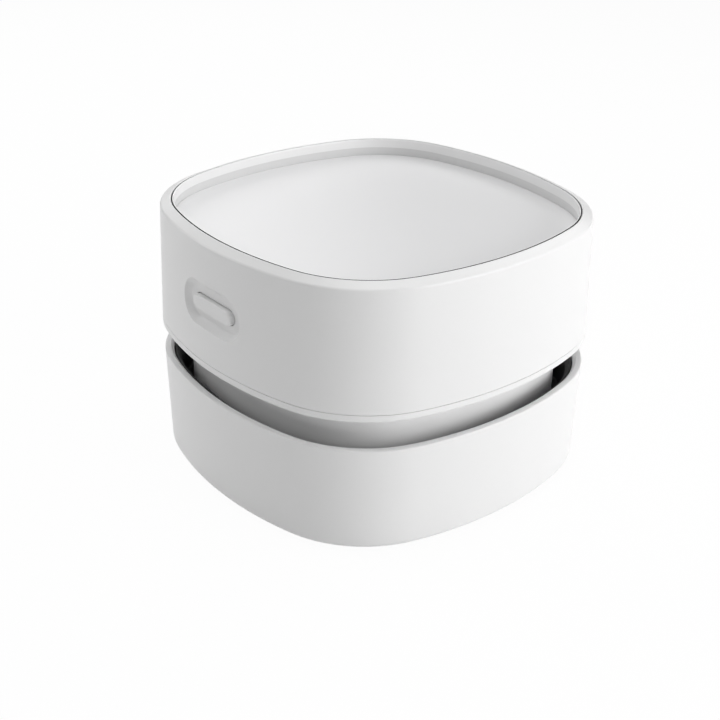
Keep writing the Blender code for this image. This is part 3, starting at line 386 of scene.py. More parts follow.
def box(low, high, edge=0.0):
    """A block between two corners, its upright edges rounded."""
    (x0, y0, z0), (x1, y1, z1) = low, high
    corners = [(x0, y0, edge), (x1, y0, edge), (x1, y1, edge), (x0, y1, edge)]
    around = rounded(corners)
    return loft([[Vector((x, y, z)) for x, y in around] for z in (z0, z1)])


def merge(shapes):
    """Several bmeshes in one."""
    whole = bmesh.new()
    for shape in shapes:
        piece = bpy.data.meshes.new("piece")
        shape.to_mesh(piece)
        shape.free()
        whole.from_mesh(piece)
        bpy.data.meshes.remove(piece)
    return whole


def to_mesh(name, shape):
    """Mesh data from a bmesh."""
    mesh = bpy.data.meshes.new(name)
    shape.to_mesh(mesh)
    shape.free()
    return mesh


def fitted(name, shape, changes):
    """Mesh data of a bmesh with shapes fused on and cut away, each change (operation, bmesh)."""
    scene = bpy.context.scene
    target = bpy.data.objects.new(name, to_mesh(name, shape))
    scene.collection.objects.link(target)
    helpers = []
    for operation, part in changes:
        helper = bpy.data.objects.new("helper", to_mesh("helper", part))
        scene.collection.objects.link(helper)
        modifier = target.modifiers.new(operation, "BOOLEAN")
        modifier.operation = operation
        modifier.solver = "EXACT"
        modifier.object = helper
        helpers.append(helper)
    bpy.context.view_layer.update()
    done = bpy.data.meshes.new_from_object(target.evaluated_get(bpy.context.evaluated_depsgraph_get()))
    for made in helpers + [target]:
        data = made.data
        bpy.data.objects.remove(made)
        bpy.data.meshes.remove(data)
    return done


def attach(name, mesh, surface, body):
    """A visible piece that rides on a body."""
    mesh.materials.append(surface)
    made = bpy.data.objects.new(name, mesh)
    bpy.context.scene.collection.objects.link(made)
    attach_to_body(made, body)
    return made


SHARP_ANGLE = 32.0  # degrees between faces from which an edge shows
NORMAL_WEIGHT = 60  # pull of large faces on the shading of their edges


def place(name, mesh, surface, body, nodes, slot):
    """A visible piece that rides on a body and stands for CAD nodes."""
    mesh.name = name
    mesh.shade_smooth()
    mesh.set_sharp_from_angle(angle=math.radians(SHARP_ANGLE))
    mesh.materials.clear()
    made = attach(name, mesh, surface, body)
    normals = made.modifiers.new("Weighted Normal", "WEIGHTED_NORMAL")
    normals.keep_sharp = True
    normals.weight = NORMAL_WEIGHT
    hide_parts(*nodes)
    return made


# Finishes


class Nodes:
    """Adds linked nodes to a tree."""

    def __init__(self, tree):
        self.tree = tree

    def add(self, kind, inputs=None, **settings):
        """A node with its settings, and its inputs set to values or linked to sockets."""
        made = self.tree.nodes.new(kind)
        for name, value in settings.items():
            setattr(made, name, value)
        for name, value in (inputs or {}).items():
            if isinstance(value, bpy.types.NodeSocket):
                self.tree.links.new(value, made.inputs[name])
            else:
                made.inputs[name].default_value = value
        return made

    def math(self, operation, first, second):
        """The result of a Math node."""
        return self.add("ShaderNodeMath", {0: first, 1: second}, operation=operation).outputs[0]

    def blend(self, factor, first, second):
        """Two colours mixed by a factor."""
        mixed = self.add("ShaderNodeMix", {0: factor, 6: first, 7: second}, data_type="RGBA")
        return mixed.outputs[2]


def new_group(name, inputs, outputs):
    """An empty node group with named sockets, and its input and output nodes."""
    tree = bpy.data.node_groups.new(name, "ShaderNodeTree")
    for label, kind, value in inputs:
        socket = tree.interface.new_socket(label, in_out="INPUT", socket_type="NodeSocket" + kind)
        socket.default_value = value
    for label, kind in outputs:
        tree.interface.new_socket(label, in_out="OUTPUT", socket_type="NodeSocket" + kind)
    nodes = Nodes(tree)
    return nodes, nodes.add("NodeGroupInput"), nodes.add("NodeGroupOutput")


def finish_group(nodes, leave, results):
    """Link a group's results to its outputs."""
    for label, socket in results.items():
        nodes.tree.links.new(socket, leave.inputs[label])
    return nodes.tree


def moulded_group():
    """Fine mould grain, faint flow marks and uneven gloss of moulded plastic and rubber."""
    name = "moulded surface"
    if name in bpy.data.node_groups:
        return bpy.data.node_groups[name]
    inputs = [
        ("Colour", "Color", (0.8, 0.8, 0.8, 1.0)),
        ("Mottle", "Float", 0.02),
        ("Grain Scale", "Float", 2500.0),
        ("Roughness", "Float", 0.4),
        ("Roughness Spread", "Float", 0.05),
    ]
    outputs = [("Colour", "Color"), ("Roughness", "Float"), ("Height", "Float")]
    nodes, enter, leave = new_group(name, inputs, outputs)
    place_of = nodes.add("ShaderNodeTexCoord").outputs["Object"]
    flow = nodes.add("ShaderNodeTexNoise", {"Vector": place_of, "Scale": 55.0, "Detail": 3.0, "Roughness": 0.5})
    grain = nodes.add(
        "ShaderNodeTexNoise",
        {"Vector": place_of, "Scale": enter.outputs["Grain Scale"], "Detail": 2.0, "Roughness": 0.6},
    )
    centred = nodes.math("SUBTRACT", flow.outputs["Fac"], 0.5)
    shade = nodes.math("MULTIPLY", centred, enter.outputs["Mottle"])
    factor = nodes.math("ADD", shade, 1.0)
    tone = nodes.add("ShaderNodeVectorMath", {0: enter.outputs["Colour"], "Scale": factor}, operation="SCALE")
    grain_off = nodes.math("SUBTRACT", grain.outputs["Fac"], 0.5)
    spread = nodes.math("MULTIPLY", nodes.math("ADD", grain_off, centred), enter.outputs["Roughness Spread"])
    rough = nodes.math("ADD", enter.outputs["Roughness"], spread)
    results = {"Colour": tone.outputs[0], "Roughness": rough, "Height": grain.outputs["Fac"]}
    return finish_group(nodes, leave, results)


def wear_group():
    """Lighter, rubbed convex edges."""
    name = "edge wear"
    if name in bpy.data.node_groups:
        return bpy.data.node_groups[name]
    inputs = [
        ("Colour", "Color", (0.8, 0.8, 0.8, 1.0)),
        ("Worn Colour", "Color", (0.9, 0.9, 0.9, 1.0)),
        ("Amount", "Float", 0.2),
    ]
    nodes, enter, leave = new_group(name, inputs, [("Colour", "Color"), ("Mask", "Float")])
    point = nodes.add("ShaderNodeNewGeometry").outputs["Pointiness"]
    edge = nodes.add("ShaderNodeMapRange", {"Value": point, "From Min": 0.52, "From Max": 0.62})
    place_of = nodes.add("ShaderNodeTexCoord").outputs["Object"]
    patch = nodes.add("ShaderNodeTexNoise", {"Vector": place_of, "Scale": 400.0, "Detail": 4.0})
    broken = nodes.math("MULTIPLY", edge.outputs["Result"], patch.outputs["Fac"])
    mask = nodes.math("MULTIPLY", broken, enter.outputs["Amount"])
    tone = nodes.blend(mask, enter.outputs["Colour"], enter.outputs["Worn Colour"])
    return finish_group(nodes, leave, {"Colour": tone, "Mask": mask})


def dust_group():
    """Thin dust that settles on faces that look up."""
    name = "settled dust"
    if name in bpy.data.node_groups:
        return bpy.data.node_groups[name]
    inputs = [
        ("Colour", "Color", (0.8, 0.8, 0.8, 1.0)),
        ("Dust Colour", "Color", (0.55, 0.53, 0.50, 1.0)),
        ("Amount", "Float", 0.05),
    ]
    nodes, enter, leave = new_group(name, inputs, [("Colour", "Color"), ("Mask", "Float")])
    normal = nodes.add("ShaderNodeNewGeometry").outputs["Normal"]
    up = nodes.add("ShaderNodeSeparateXYZ", {0: normal}).outputs["Z"]
    facing = nodes.add("ShaderNodeMapRange", {"Value": up, "From Min": 0.3, "From Max": 1.0})
    place_of = nodes.add("ShaderNodeTexCoord").outputs["Object"]
    specks = nodes.add("ShaderNodeTexNoise", {"Vector": place_of, "Scale": 900.0, "Detail": 6.0, "Roughness": 0.7})
    thick = nodes.add("ShaderNodeMapRange", {"Value": specks.outputs["Fac"], "From Min": 0.45, "From Max": 0.75})
    mask = nodes.math("MULTIPLY", facing.outputs["Result"], thick.outputs["Result"])
    mask = nodes.math("MULTIPLY", mask, enter.outputs["Amount"])
    tone = nodes.blend(mask, enter.outputs["Colour"], enter.outputs["Dust Colour"])
    return finish_group(nodes, leave, {"Colour": tone, "Mask": mask})


def drawn_group():
    """Fine streaks of drawn, turned or plated metal."""
    name = "drawn metal"
    if name in bpy.data.node_groups:
        return bpy.data.node_groups[name]
    inputs = [
        ("Colour", "Color", (0.6, 0.6, 0.6, 1.0)),
        ("Stretch", "Vector", (40.0, 40.0, 3000.0)),
        ("Roughness", "Float", 0.3),
        ("Roughness Spread", "Float", 0.15),
    ]
    outputs = [("Colour", "Color"), ("Roughness", "Float"), ("Height", "Float")]
    nodes, enter, leave = new_group(name, inputs, outputs)
    place_of = nodes.add("ShaderNodeTexCoord").outputs["Object"]
    scaled = nodes.add("ShaderNodeVectorMath", {0: place_of, 1: enter.outputs["Stretch"]}, operation="MULTIPLY")
    streak = nodes.add("ShaderNodeTexNoise", {"Vector": scaled.outputs[0], "Scale": 1.0, "Detail": 3.0})
    off = nodes.math("SUBTRACT", streak.outputs["Fac"], 0.5)
    factor = nodes.math("ADD", nodes.math("MULTIPLY", off, 0.2), 1.0)
    tone = nodes.add("ShaderNodeVectorMath", {0: enter.outputs["Colour"], "Scale": factor}, operation="SCALE")
    spread = nodes.math("MULTIPLY", off, enter.outputs["Roughness Spread"])
    rough = nodes.math("ADD", enter.outputs["Roughness"], spread)
    results = {"Colour": tone.outputs[0], "Roughness": rough, "Height": streak.outputs["Fac"]}
    return finish_group(nodes, leave, results)


def new_material(name, tint, **shader_values):
    """A material with its Principled shader, constants set on the shader's own sockets."""
    made = bpy.data.materials.new(name)
    made.use_nodes = True
    made.diffuse_color = (*tint, 1.0)
    shader = made.node_tree.nodes["Principled BSDF"]
    for label, value in shader_values.items():
        shader.inputs[label.replace("_", " ")].default_value = value
    return made, Nodes(made.node_tree), shader


def raise_grain(nodes, shader, height, strength, distance):
    """Feed a height to the shader's normal."""
    bump = nodes.add("ShaderNodeBump", {"Height": height, "Strength": strength, "Distance": distance})
    nodes.tree.links.new(bump.outputs["Normal"], shader.inputs["Normal"])


def plastic(name, tint, roughness, mottle, grain, relief, worn, dust, **shader_values):
    """Moulded plastic or rubber with grain, rubbed edges and a little dust."""
    if name in bpy.data.materials:
        return bpy.data.materials[name]
    made, nodes, shader = new_material(name, tint, **shader_values)
    surface = nodes.add("ShaderNodeGroup", node_tree=moulded_group())
    surface.inputs["Colour"].default_value = (*tint, 1.0)
    surface.inputs["Mottle"].default_value = mottle
    surface.inputs["Grain Scale"].default_value = grain
    surface.inputs["Roughness"].default_value = roughness
    surface.inputs["Roughness Spread"].default_value = roughness / 5
    rubbed = nodes.add("ShaderNodeGroup", node_tree=wear_group())
    nodes.tree.links.new(surface.outputs["Colour"], rubbed.inputs["Colour"])
    rubbed.inputs["Worn Colour"].default_value = (*[(1 + value) / 2 for value in tint], 1.0)
    rubbed.inputs["Amount"].default_value = worn
    dusty = nodes.add("ShaderNodeGroup", node_tree=dust_group())
    nodes.tree.links.new(rubbed.outputs["Colour"], dusty.inputs["Colour"])
    dusty.inputs["Amount"].default_value = dust
    nodes.tree.links.new(dusty.outputs["Colour"], shader.inputs["Base Color"])
    nodes.tree.links.new(surface.outputs["Roughness"], shader.inputs["Roughness"])
    raise_grain(nodes, shader, surface.outputs["Height"], relief, 0.00002)
    return made


def white_shell():
    """Satin white moulding of the shells and the cup."""
    return plastic("satin white plastic", tints().white, 0.34, 0.012, 2600.0, 0.05, 0.10, 0.0, IOR=1.46)


def tray_painted_light_white():
    """The shell's white brightened for the tray, 0.86 against 0.80: painted light on the recess walls."""
    return plastic("tray white plastic", tints().tray, 0.30, 0.010, 2600.0, 0.04, 0.05, 0.0, IOR=1.46)


def tray_painted_shade():
    """The tray's white darkened to 0.84 on its lower wall: painted shade low in the recess."""
    # darker copy of the tray's white, 0.84 of it: painted shade
    tint = [value * 0.84 for value in tints().tray]
    return plastic("tray lower wall plastic", tint, 0.34, 0.010, 2600.0, 0.04, 0.0, 0.0, IOR=1.46)


def smooth_panel():
    """Smooth, glossier floor of the tray."""
    return plastic("smooth pale panel", tints().panel, 0.38, 0.006, 3200.0, 0.01, 0.0, 0.01, IOR=1.5)


def pale_neck():
    """Satin neck white, brighter than the shell's white: painted light in the shaded gap."""
    return plastic("pale grey plastic", tints().neck, 0.45, 0.02, 2200.0, 0.08, 0.05, 0.02, IOR=1.46)


def black_plastic():
    """Black plastic of the bin and the nozzle."""
    return plastic("satin black plastic", tints().black, 0.6, 0.15, 1800.0, 0.15, 0.05, 0.02, IOR=1.4)


def grey_plastic():
    """Grey plastic of the frames inside."""
    return plastic("plain grey plastic", tints().grey, 0.5, 0.06, 1800.0, 0.12, 0.10, 0.04, IOR=1.46)


def rubber():
    """Soft rubber of the glides and the seal, and of the black strip of painted shade in the tray's groove."""
    return plastic("soft rubber", tints().rubber, 0.8, 0.2, 1200.0, 0.4, 0.12, 0.05, IOR=1.4)


def metal(name, tint, roughness, stretch, worn):
    """Drawn, turned or plated metal."""
    if name in bpy.data.materials:
        return bpy.data.materials[name]
    made, nodes, shader = new_material(name, tint, Metallic=1.0)
    surface = nodes.add("ShaderNodeGroup", node_tree=drawn_group())
    surface.inputs["Colour"].default_value = (*tint, 1.0)
    surface.inputs["Stretch"].default_value = stretch
    surface.inputs["Roughness"].default_value = roughness
    rubbed = nodes.add("ShaderNodeGroup", node_tree=wear_group())
    nodes.tree.links.new(surface.outputs["Colour"], rubbed.inputs["Colour"])
    rubbed.inputs["Worn Colour"].default_value = (*[(1 + value) / 2 for value in tint], 1.0)
    rubbed.inputs["Amount"].default_value = worn
    nodes.tree.links.new(rubbed.outputs["Colour"], shader.inputs["Base Color"])
    nodes.tree.links.new(surface.outputs["Roughness"], shader.inputs["Roughness"])
    raise_grain(nodes, shader, surface.outputs["Height"], 0.08, 0.00002)
    return made


def steel():
    """Plated steel of the motor and the charging socket."""
    return metal("plated steel", tints().steel, 0.25, (600.0, 600.0, 600.0), 0.2)


def dark_steel():
    """Blackened steel of the screws."""
    return metal("blackened screw steel", tints().screw, 0.35, (900.0, 900.0, 900.0), 0.3)


def brass():
    """Turned brass of the collar and the contacts."""
    return metal("turned brass", tints().brass, 0.3, (900.0, 900.0, 900.0), 0.2)


def bristle_nylon():
    """Nylon bristles, paler towards the tips."""
    tint = tints().bristle
    made, nodes, shader = new_material("bristle nylon", tint, IOR=1.53)
    place_of = nodes.add("ShaderNodeTexCoord").outputs["Object"]
    height = nodes.add("ShaderNodeSeparateXYZ", {0: place_of}).outputs["Z"]
    low, high = low_corner["brush_ring"].z, high_corner["brush_ring"].z
    tip = nodes.add("ShaderNodeMapRange", {"Value": height, "From Min": high, "From Max": low})
    strand = nodes.add("ShaderNodeTexNoise", {"Vector": place_of, "Scale": 4000.0, "Detail": 1.0})
    factor = nodes.math("MULTIPLY", tip.outputs["Result"], strand.outputs["Fac"])
    pale = tuple(min(1.0, value * 3) for value in tint)
    tone = nodes.blend(factor, (*tint, 1.0), (*pale, 1.0))
    nodes.tree.links.new(tone, shader.inputs["Base Color"])
    rough = nodes.add("ShaderNodeMapRange", {"Value": strand.outputs["Fac"], "To Min": 0.45, "To Max": 0.7})
    nodes.tree.links.new(rough.outputs["Result"], shader.inputs["Roughness"])
    return made


def filter_paper():
    """Fibrous filter paper, greyed where the dust gathers."""
    tint = tints().paper
    made, nodes, shader = new_material("filter paper", tint, Roughness=0.9)
    place_of = nodes.add("ShaderNodeTexCoord").outputs["Object"]
    fibre = nodes.add("ShaderNodeTexNoise", {"Vector": place_of, "Scale": 1800.0, "Detail": 8.0, "Distortion": 1.5})
    patch = nodes.add("ShaderNodeTexNoise", {"Vector": place_of, "Scale": 90.0, "Detail": 3.0})
    soiled = nodes.add("ShaderNodeMapRange", {"Value": patch.outputs["Fac"], "From Min": 0.45, "To Max": 0.35})
    tone = nodes.blend(soiled.outputs["Result"], (*tint, 1.0), (0.42, 0.40, 0.37, 1.0))
    nodes.tree.links.new(tone, shader.inputs["Base Color"])
    raise_grain(nodes, shader, fibre.outputs["Fac"], 0.5, 0.00005)
    return made


def foam():
    """Open-celled foam."""
    tint = tints().foam
    made, nodes, shader = new_material("open foam", tint, Roughness=0.95)
    place_of = nodes.add("ShaderNodeTexCoord").outputs["Object"]
    cells = nodes.add("ShaderNodeTexVoronoi", {"Vector": place_of, "Scale": 1500.0}, feature="F1")
    tone = nodes.blend(cells.outputs["Distance"], (*[value / 3 for value in tint], 1.0), (*tint, 1.0))
    nodes.tree.links.new(tone, shader.inputs["Base Color"])
    raise_grain(nodes, shader, cells.outputs["Distance"], 0.8, 0.0002)
    return made


def circuit_board():
    """Solder resist over copper tracks, with tinned pads."""
    tint = tints().board
    made, nodes, shader = new_material("circuit board", tint, IOR=1.5)
    place_of = nodes.add("ShaderNodeTexCoord").outputs["Object"]
    tracks = nodes.add("ShaderNodeTexVoronoi", {"Vector": place_of, "Scale": 330.0}, distance="CHEBYCHEV")
    edges = nodes.add("ShaderNodeMapRange", {"Value": tracks.outputs["Distance"], "From Min": 0.42, "From Max": 0.46})
    pads = nodes.add("ShaderNodeMapRange", {"Value": tracks.outputs["Distance"], "From Min": 0.14, "From Max": 0.12})
    pale = tuple(min(1.0, value * 1.8) for value in tint)
    tone = nodes.blend(edges.outputs["Result"], (*tint, 1.0), (*pale, 1.0))
    tone = nodes.blend(pads.outputs["Result"], tone, (0.70, 0.70, 0.68, 1.0))
    nodes.tree.links.new(tone, shader.inputs["Base Color"])
    nodes.tree.links.new(pads.outputs["Result"], shader.inputs["Metallic"])
    gloss = nodes.add("ShaderNodeMapRange", {"Value": pads.outputs["Result"], "To Min": 0.35, "To Max": 0.25})
    nodes.tree.links.new(gloss.outputs["Result"], shader.inputs["Roughness"])
    raise_grain(nodes, shader, edges.outputs["Result"], 0.3, 0.00003)
    return made


# Pieces under the desk side: cup, bin, nozzle, brush, glides, screws


def cup_inset(z):
    """How far the cup's outside is drawn in at height z."""
    cup = group_of("cup")
    low, high = low_corner["cup_shell"].z, high_corner["cup_shell"].z
    return cup.foot_inset + (cup.rim_inset - cup.foot_inset) * (z - low) / (high - low)


def head_inset(z):
    """How far the head's outside has leaned in at height z."""
    low, high = low_corner["head_base"].z, high_corner["upper_shell"].z
    return group_of("body").taper * (z - low) / (high - low)


def centre_of(node):
    """Middle of a node's box, seen from above."""
    low, high = low_corner[node], high_corner[node]
    return ((low.x + high.x) / 2, (low.y + high.y) / 2)


def radius_of(node):
    """Half the width of a node's box."""
    return (high_corner[node].x - low_corner[node].x) / 2


def level_of(node):
    """Height of the middle of a node's box."""
    return (low_corner[node].z + high_corner[node].z) / 2


SHANK_SHARE = 0.55  # a screw's shank against its head
OVERCUT = 0.001  # how far a cut reaches past what it opens
BIN_FLOOR = 0.001


def shank_of(screw):
    """Radius of a screw's shank."""
    return SHANK_SHARE * radius_of(screw)


class DESKVAC_OT_cup(bpy.types.Operator):
    """Build the white cup shell"""

    bl_idname = "deskvac.cup"
    bl_label = "Cup shell"

    def execute(self, context):
        cup, gap = group_of("cup"), group_of("body").gap
        low, rim = low_corner["cup_shell"].z, high_corner["cup_shell"].z
        floor = low + cup.floor
        section = rounded(
            [
                (cup_inset(low) + cup.foot_radius + cup.wall, low, 0.0),
                (cup_inset(low), low, cup.foot_radius),
                (cup_inset(rim), rim, cup.rim_edge),
                (cup_inset(rim) + cup.wall - cup.rim_chamfer, rim, group_of("body").edge),
                (cup_inset(rim) + cup.wall, rim - cup.rim_chamfer, group_of("body").edge),
                (cup_inset(floor) + cup.wall, floor, cup.rim_edge),
                (cup_inset(floor) + 2 * cup.wall, floor, 0.0),
            ],
            closed=False,
            steps=8,
        )
        shape = body_shape(section, ring=False)
        below, above = low - cup.wall, floor + cup.wall
        mouth = cup.nozzle_bore + cup.nozzle_wall + cup.nozzle_flare + gap
        cuts = [turned([(mouth, below), (mouth, above)], 96)]
        groove = [(cup.groove_inner, below), (cup.groove_outer, below)]
        groove += [(cup.groove_outer, low + cup.groove_depth), (cup.groove_inner, low + cup.groove_depth)]
        cuts.append(turned(groove, 120, ring=True))
        for number in range(1, 5):
            pad, fixing = f"foot_pad_{number}", f"cup_screw_{number}"
            radius = radius_of(pad) + gap
            pocket = [(radius, below), (radius, low + cup.foot_pocket)]
            cuts.append(turned(pocket, 48, centre_of(pad)))
            head = radius_of(fixing) + gap
            shank = shank_of(fixing) + gap
            shoulder = low_corner[fixing].z + cup.groove_depth
            hole = [(head, below), (head, shoulder), (shank, shoulder), (shank, above)]
            cuts.append(turned(hole, 40, centre_of(fixing)))
        mesh = fitted("cup_shell", shape, [("DIFFERENCE", merge(cuts))])
        place("white_cup", mesh, white_shell(), "cup", ["cup_shell"], "white_shell")
        return {"FINISHED"}


class DESKVAC_OT_bin(bpy.types.Operator):
    """Build the black dust bin and the seal on its seat"""

    bl_idname = "deskvac.dust_bin"
    bl_label = "Dust bin and seal"

    def execute(self, context):
        cup, body, neck = group_of("cup"), group_of("body"), group_of("neck")
        gap, edge = body.gap, body.edge
        low, rim = low_corner["dust_bin"].z, high_corner["dust_bin"].z
        floor = low + BIN_FLOOR
        seat_z = low_corner["seal_ring"].z - gap
        shelf = low_corner["neck"].z + cup.bin_collar_grip
        collar = neck.inset - gap
        seat = collar + cup.bin_seat_width
        wall = cup.bin_wall

        def outside(z):
            return cup_inset(z) + cup.wall + gap

        section = rounded(
            [
                (seat + 2 * wall, low, 0.0),
                (seat - wall, low, 4 * edge),
                (seat - wall, seat_z - wall, edge),
                (collar - wall, seat_z - wall, 2 * edge),
                (collar - wall, shelf - wall, edge),
                (outside(shelf - wall), shelf - wall, 4 * edge),
                (outside(rim), rim, 2 * edge),
                (outside(rim) + cup.bin_rim_width, rim, edge),
                (outside(rim) + wall, rim - cup.bin_rim_slope, 2 * edge),
                (outside(shelf) + wall, shelf, 4 * edge),
                (collar, shelf, 2 * edge),
                (collar, seat_z, edge),
                (seat, seat_z, 2 * edge),
                (seat, floor, 4 * edge),
                (seat + 2 * wall, floor, 0.0),
            ],
            closed=False,
            steps=4,
        )
        shape = body_shape(section, ring=False)
        bosses, holes = [], []
        for number in range(1, 5):
            centre = centre_of(f"cup_screw_{number}")
            boss = rounded(
                [
                    (cup.boss_radius, (low + floor) / 2, 0.0),
                    (cup.boss_radius, floor + cup.boss_height, 2 * edge),
                    (edge, floor + cup.boss_height, 0.0),
                ],
                closed=False,
            )
            bosses.append(turned(boss, 40, centre))
            shank, top = shank_of(f"cup_screw_{number}") + gap, high_corner["cup_screw_1"].z
            holes.append(turned([(shank, low - wall), (shank, top)], 32, centre))
        tube = cup.nozzle_bore + cup.nozzle_wall + gap
        holes.append(turned([(tube, low - wall), (tube, floor + wall)]))
        mesh = fitted("dust_bin", shape, [("UNION", merge(bosses)), ("DIFFERENCE", merge(holes))])
        place("black_bin", mesh, black_plastic(), "cup", ["dust_bin"], "black_plastic")
        low, high = low_corner["seal_ring"].z, high_corner["seal_ring"].z
        section = rounded(
            [
                (neck.inset, low, 2 * edge),
                (neck.inset, high, 3 * edge),
                (neck.inset + neck.wall, high, 3 * edge),
                (neck.inset + neck.wall, low, 2 * edge),
            ]
        )
        mesh = to_mesh("seal", body_shape(section))
        place("rubber_seal", mesh, rubber(), "cup", ["seal_ring"], "black_rubber")
        return {"FINISHED"}


# Brush: shares of its height and of the room between its rims, and angles that vary the bristles
BRUSH_BACKING = 0.35
BRISTLE_FIRST, BRISTLE_SPAN = 0.12, 0.70
BRISTLE_LEAN, BRISTLE_SWAY, BRISTLE_SHORT, BRISTLE_TIP = 0.05, 0.6, 0.06, 0.7
SWAY_TURN, SWAY_ROW, SHORT_TURN = 2.399, 1.7, 1.3

NEAR_AXIS = 0.1  # where a section ends short of its axis
GLIDE_RING, GLIDE_DISH = 0.72, 0.66  # radii of the glide's shallow ring, as shares

# Screws: height of the head, then shares of the head's height or radius
SCREW_HEAD = 0.001
DOME_FLAT, DOME_ROUND, DOME_HEIGHT, DOME_STEPS = 0.55, 0.45, 0.4, 6
CROSS_ARM, CROSS_HALF, CROSS_DEPTH = 0.62, 0.13, 0.55
THREAD_TURNS, THREAD_END, THREAD_CORE = 14, 1.5, 0.80


class DESKVAC_OT_underside(bpy.types.Operator):
    """Build the suction nozzle, the brush, the glides and the screws under the cup"""

    bl_idname = "deskvac.underside"
    bl_label = "Nozzle, brush, glides and screws"

    def execute(self, context):
        cup, edge = group_of("cup"), group_of("body").edge
        self.nozzle(cup, edge)
        self.brush(cup, edge)
        for number in range(1, 5):
            self.glide(number, edge)
            self.screw(number, edge)
        return {"FINISHED"}

    def nozzle(self, cup, edge):
        """Flared mouth, flange on the cup's floor and tube into the bin."""
        low, high = low_corner["nozzle"].z, high_corner["nozzle"].z
        gap = group_of("body").gap
        flange = low + cup.floor + gap
        outer = cup.nozzle_bore + cup.nozzle_wall
        mouth = outer + cup.nozzle_flare
        section = rounded(
            [
                (cup.nozzle_bore + cup.nozzle_flare, low, 2 * edge),
                (mouth, low, 2 * edge),
                (mouth, flange, edge),
                (radius_of("nozzle"), flange, edge),
                (radius_of("nozzle"), flange + cup.flange_thickness, edge),
                (outer, flange + cup.flange_thickness, 2 * edge),
                (outer, high, 3 * edge),
                (cup.nozzle_bore, high, 3 * edge),
                (cup.nozzle_bore, flange, 10 * edge),
            ]
        )
        mesh = to_mesh("nozzle", turned(section, 128, ring=True))
        place("suction_nozzle", mesh, black_plastic(), "cup", ["nozzle"], "black_plastic")

    def brush(self, cup, edge):
        """Backing strip in the groove, and rings of bristles that lean out a little."""
        low, high = low_corner["brush_ring"].z, high_corner["brush_ring"].z
        outer = radius_of("brush_ring")
        inner = cup.groove_inner + group_of("body").gap
        backing = high - (high - low) * BRUSH_BACKING
        corners = [(inner, backing, edge), (outer, backing, edge), (outer, high, 0), (inner, high, 0)]
        shape = turned(rounded(corners), 128, ring=True)
        room = outer - inner
        for row in range(cup.bristle_rows):
            share = (row + 0.5) / cup.bristle_rows
            radius = inner + room * (BRISTLE_FIRST + BRISTLE_SPAN * share)
            for number in range(cup.bristle_count):
                angle = 2 * math.pi * (number + 0.5 * (row % 2)) / cup.bristle_count
                sway = math.sin(number * SWAY_TURN + row * SWAY_ROW)
                out = Vector((math.cos(angle), math.sin(angle), 0.0))
                along = Vector((-out.y, out.x, 0.0))
                root = out * radius
                tip = out * (radius + room * BRISTLE_LEAN * (share + sway * BRISTLE_SWAY))
                tip += along * sway * cup.bristle_width * BRISTLE_SWAY
                short = BRISTLE_SHORT * (high - low) * (1 + math.sin(number * SHORT_TURN + row))
                loops = []
                for spot, z, width in ((root, backing + edge, 1.0), (tip, low + short, BRISTLE_TIP)):
                    half, up = cup.bristle_width * width / 2, Vector((0, 0, z))
                    sides = ((1, 0), (0, 1), (-1, 0), (0, -1))
                    loops.append([spot + out * a * half + along * b * half + up for a, b in sides])
                add_loops(shape, loops)
        bmesh.ops.recalc_face_normals(shape, faces=shape.faces)
        place("nylon_brush", to_mesh("brush", shape), bristle_nylon(), "cup", ["brush_ring"], "bristle")

    def glide(self, number, edge):
        """Round glide with a soft edge and a shallow ring."""
        node = f"foot_pad_{number}"
        low, high = low_corner[node].z, high_corner[node].z
        radius = radius_of(node)
        section = rounded(
            [
                (radius * NEAR_AXIS, high, 0.0),
                (radius, high, edge),
                (radius, low, 3 * edge),
                (radius * GLIDE_RING, low, edge),
                (radius * GLIDE_DISH, low + edge, edge / 2),
                (radius * NEAR_AXIS, low + edge, 0.0),
            ],
            closed=False,
        )
        mesh = to_mesh("glide", turned(section, 56, centre_of(node)))
        place(f"glide_{number}", mesh, rubber(), "cup", [node], "black_rubber")

    def screw(self, number, edge):
        """Pan-headed screw with a cross recess and a threaded shank."""
        node = f"cup_screw_{number}"
        low, high = low_corner[node].z, high_corner[node].z
        radius = radius_of(node)
        shank = shank_of(node)
        seat = low + SCREW_HEAD
        section = [(radius * NEAR_AXIS, low)]
        for step in range(DOME_STEPS + 1):
            angle = math.pi / 2 * step / DOME_STEPS
            across = radius * (DOME_FLAT + DOME_ROUND * math.sin(angle))
            section.append((across, low + DOME_HEIGHT * (seat - low) * (1 - math.cos(angle))))
        section += [(radius, seat - edge), (radius - edge / 2, seat), (shank, seat)]
        for turn in range(THREAD_TURNS):
            z = seat + (high - seat) * (turn + 1) / (THREAD_TURNS + THREAD_END)
            section += [(shank * THREAD_CORE, z - edge), (shank, z)]
        section += [(shank * THREAD_CORE, high - edge), (shank * NEAR_AXIS, high)]
        shape = turned(section, 36, centre_of(node))
        x, y = centre_of(node)
        arm, half, deep = radius * CROSS_ARM, radius * CROSS_HALF, low + CROSS_DEPTH * (seat - low)
        slots = [
            box((x - arm, y - half, low - edge), (x + arm, y + half, deep)),
            box((x - half, y - arm, low - edge), (x + half, y + arm, deep)),
        ]
        changes = [("DIFFERENCE", slot) for slot in slots]
        mesh = fitted("screw", shape, changes)
        place(f"cup_fixing_{number}", mesh, dark_steel(), "cup", [node], "dark_screw")


# Head, lower part

LUG_THICKNESS, LUG_HOLE = 0.0016, 0.003  # lugs of the neck and depth of their holes
PILOT_HOLE, PILOT_DEPTH = 0.0014, 0.008  # hole that a screw cuts its thread in
SEAT_WALL, SEAT_HEIGHT, SHAFT_HOLE = 0.0015, 0.0035, 0.003  # ring round the motor's foot
CLAMP_POST = 0.0026
RAIL_ASIDE, RAIL_HALF, RAIL_THICKNESS, RAIL_HEIGHT = 0.0125, 0.0015, 0.0016, 0.006
POST_HALF = 0.002  # posts under the charging board


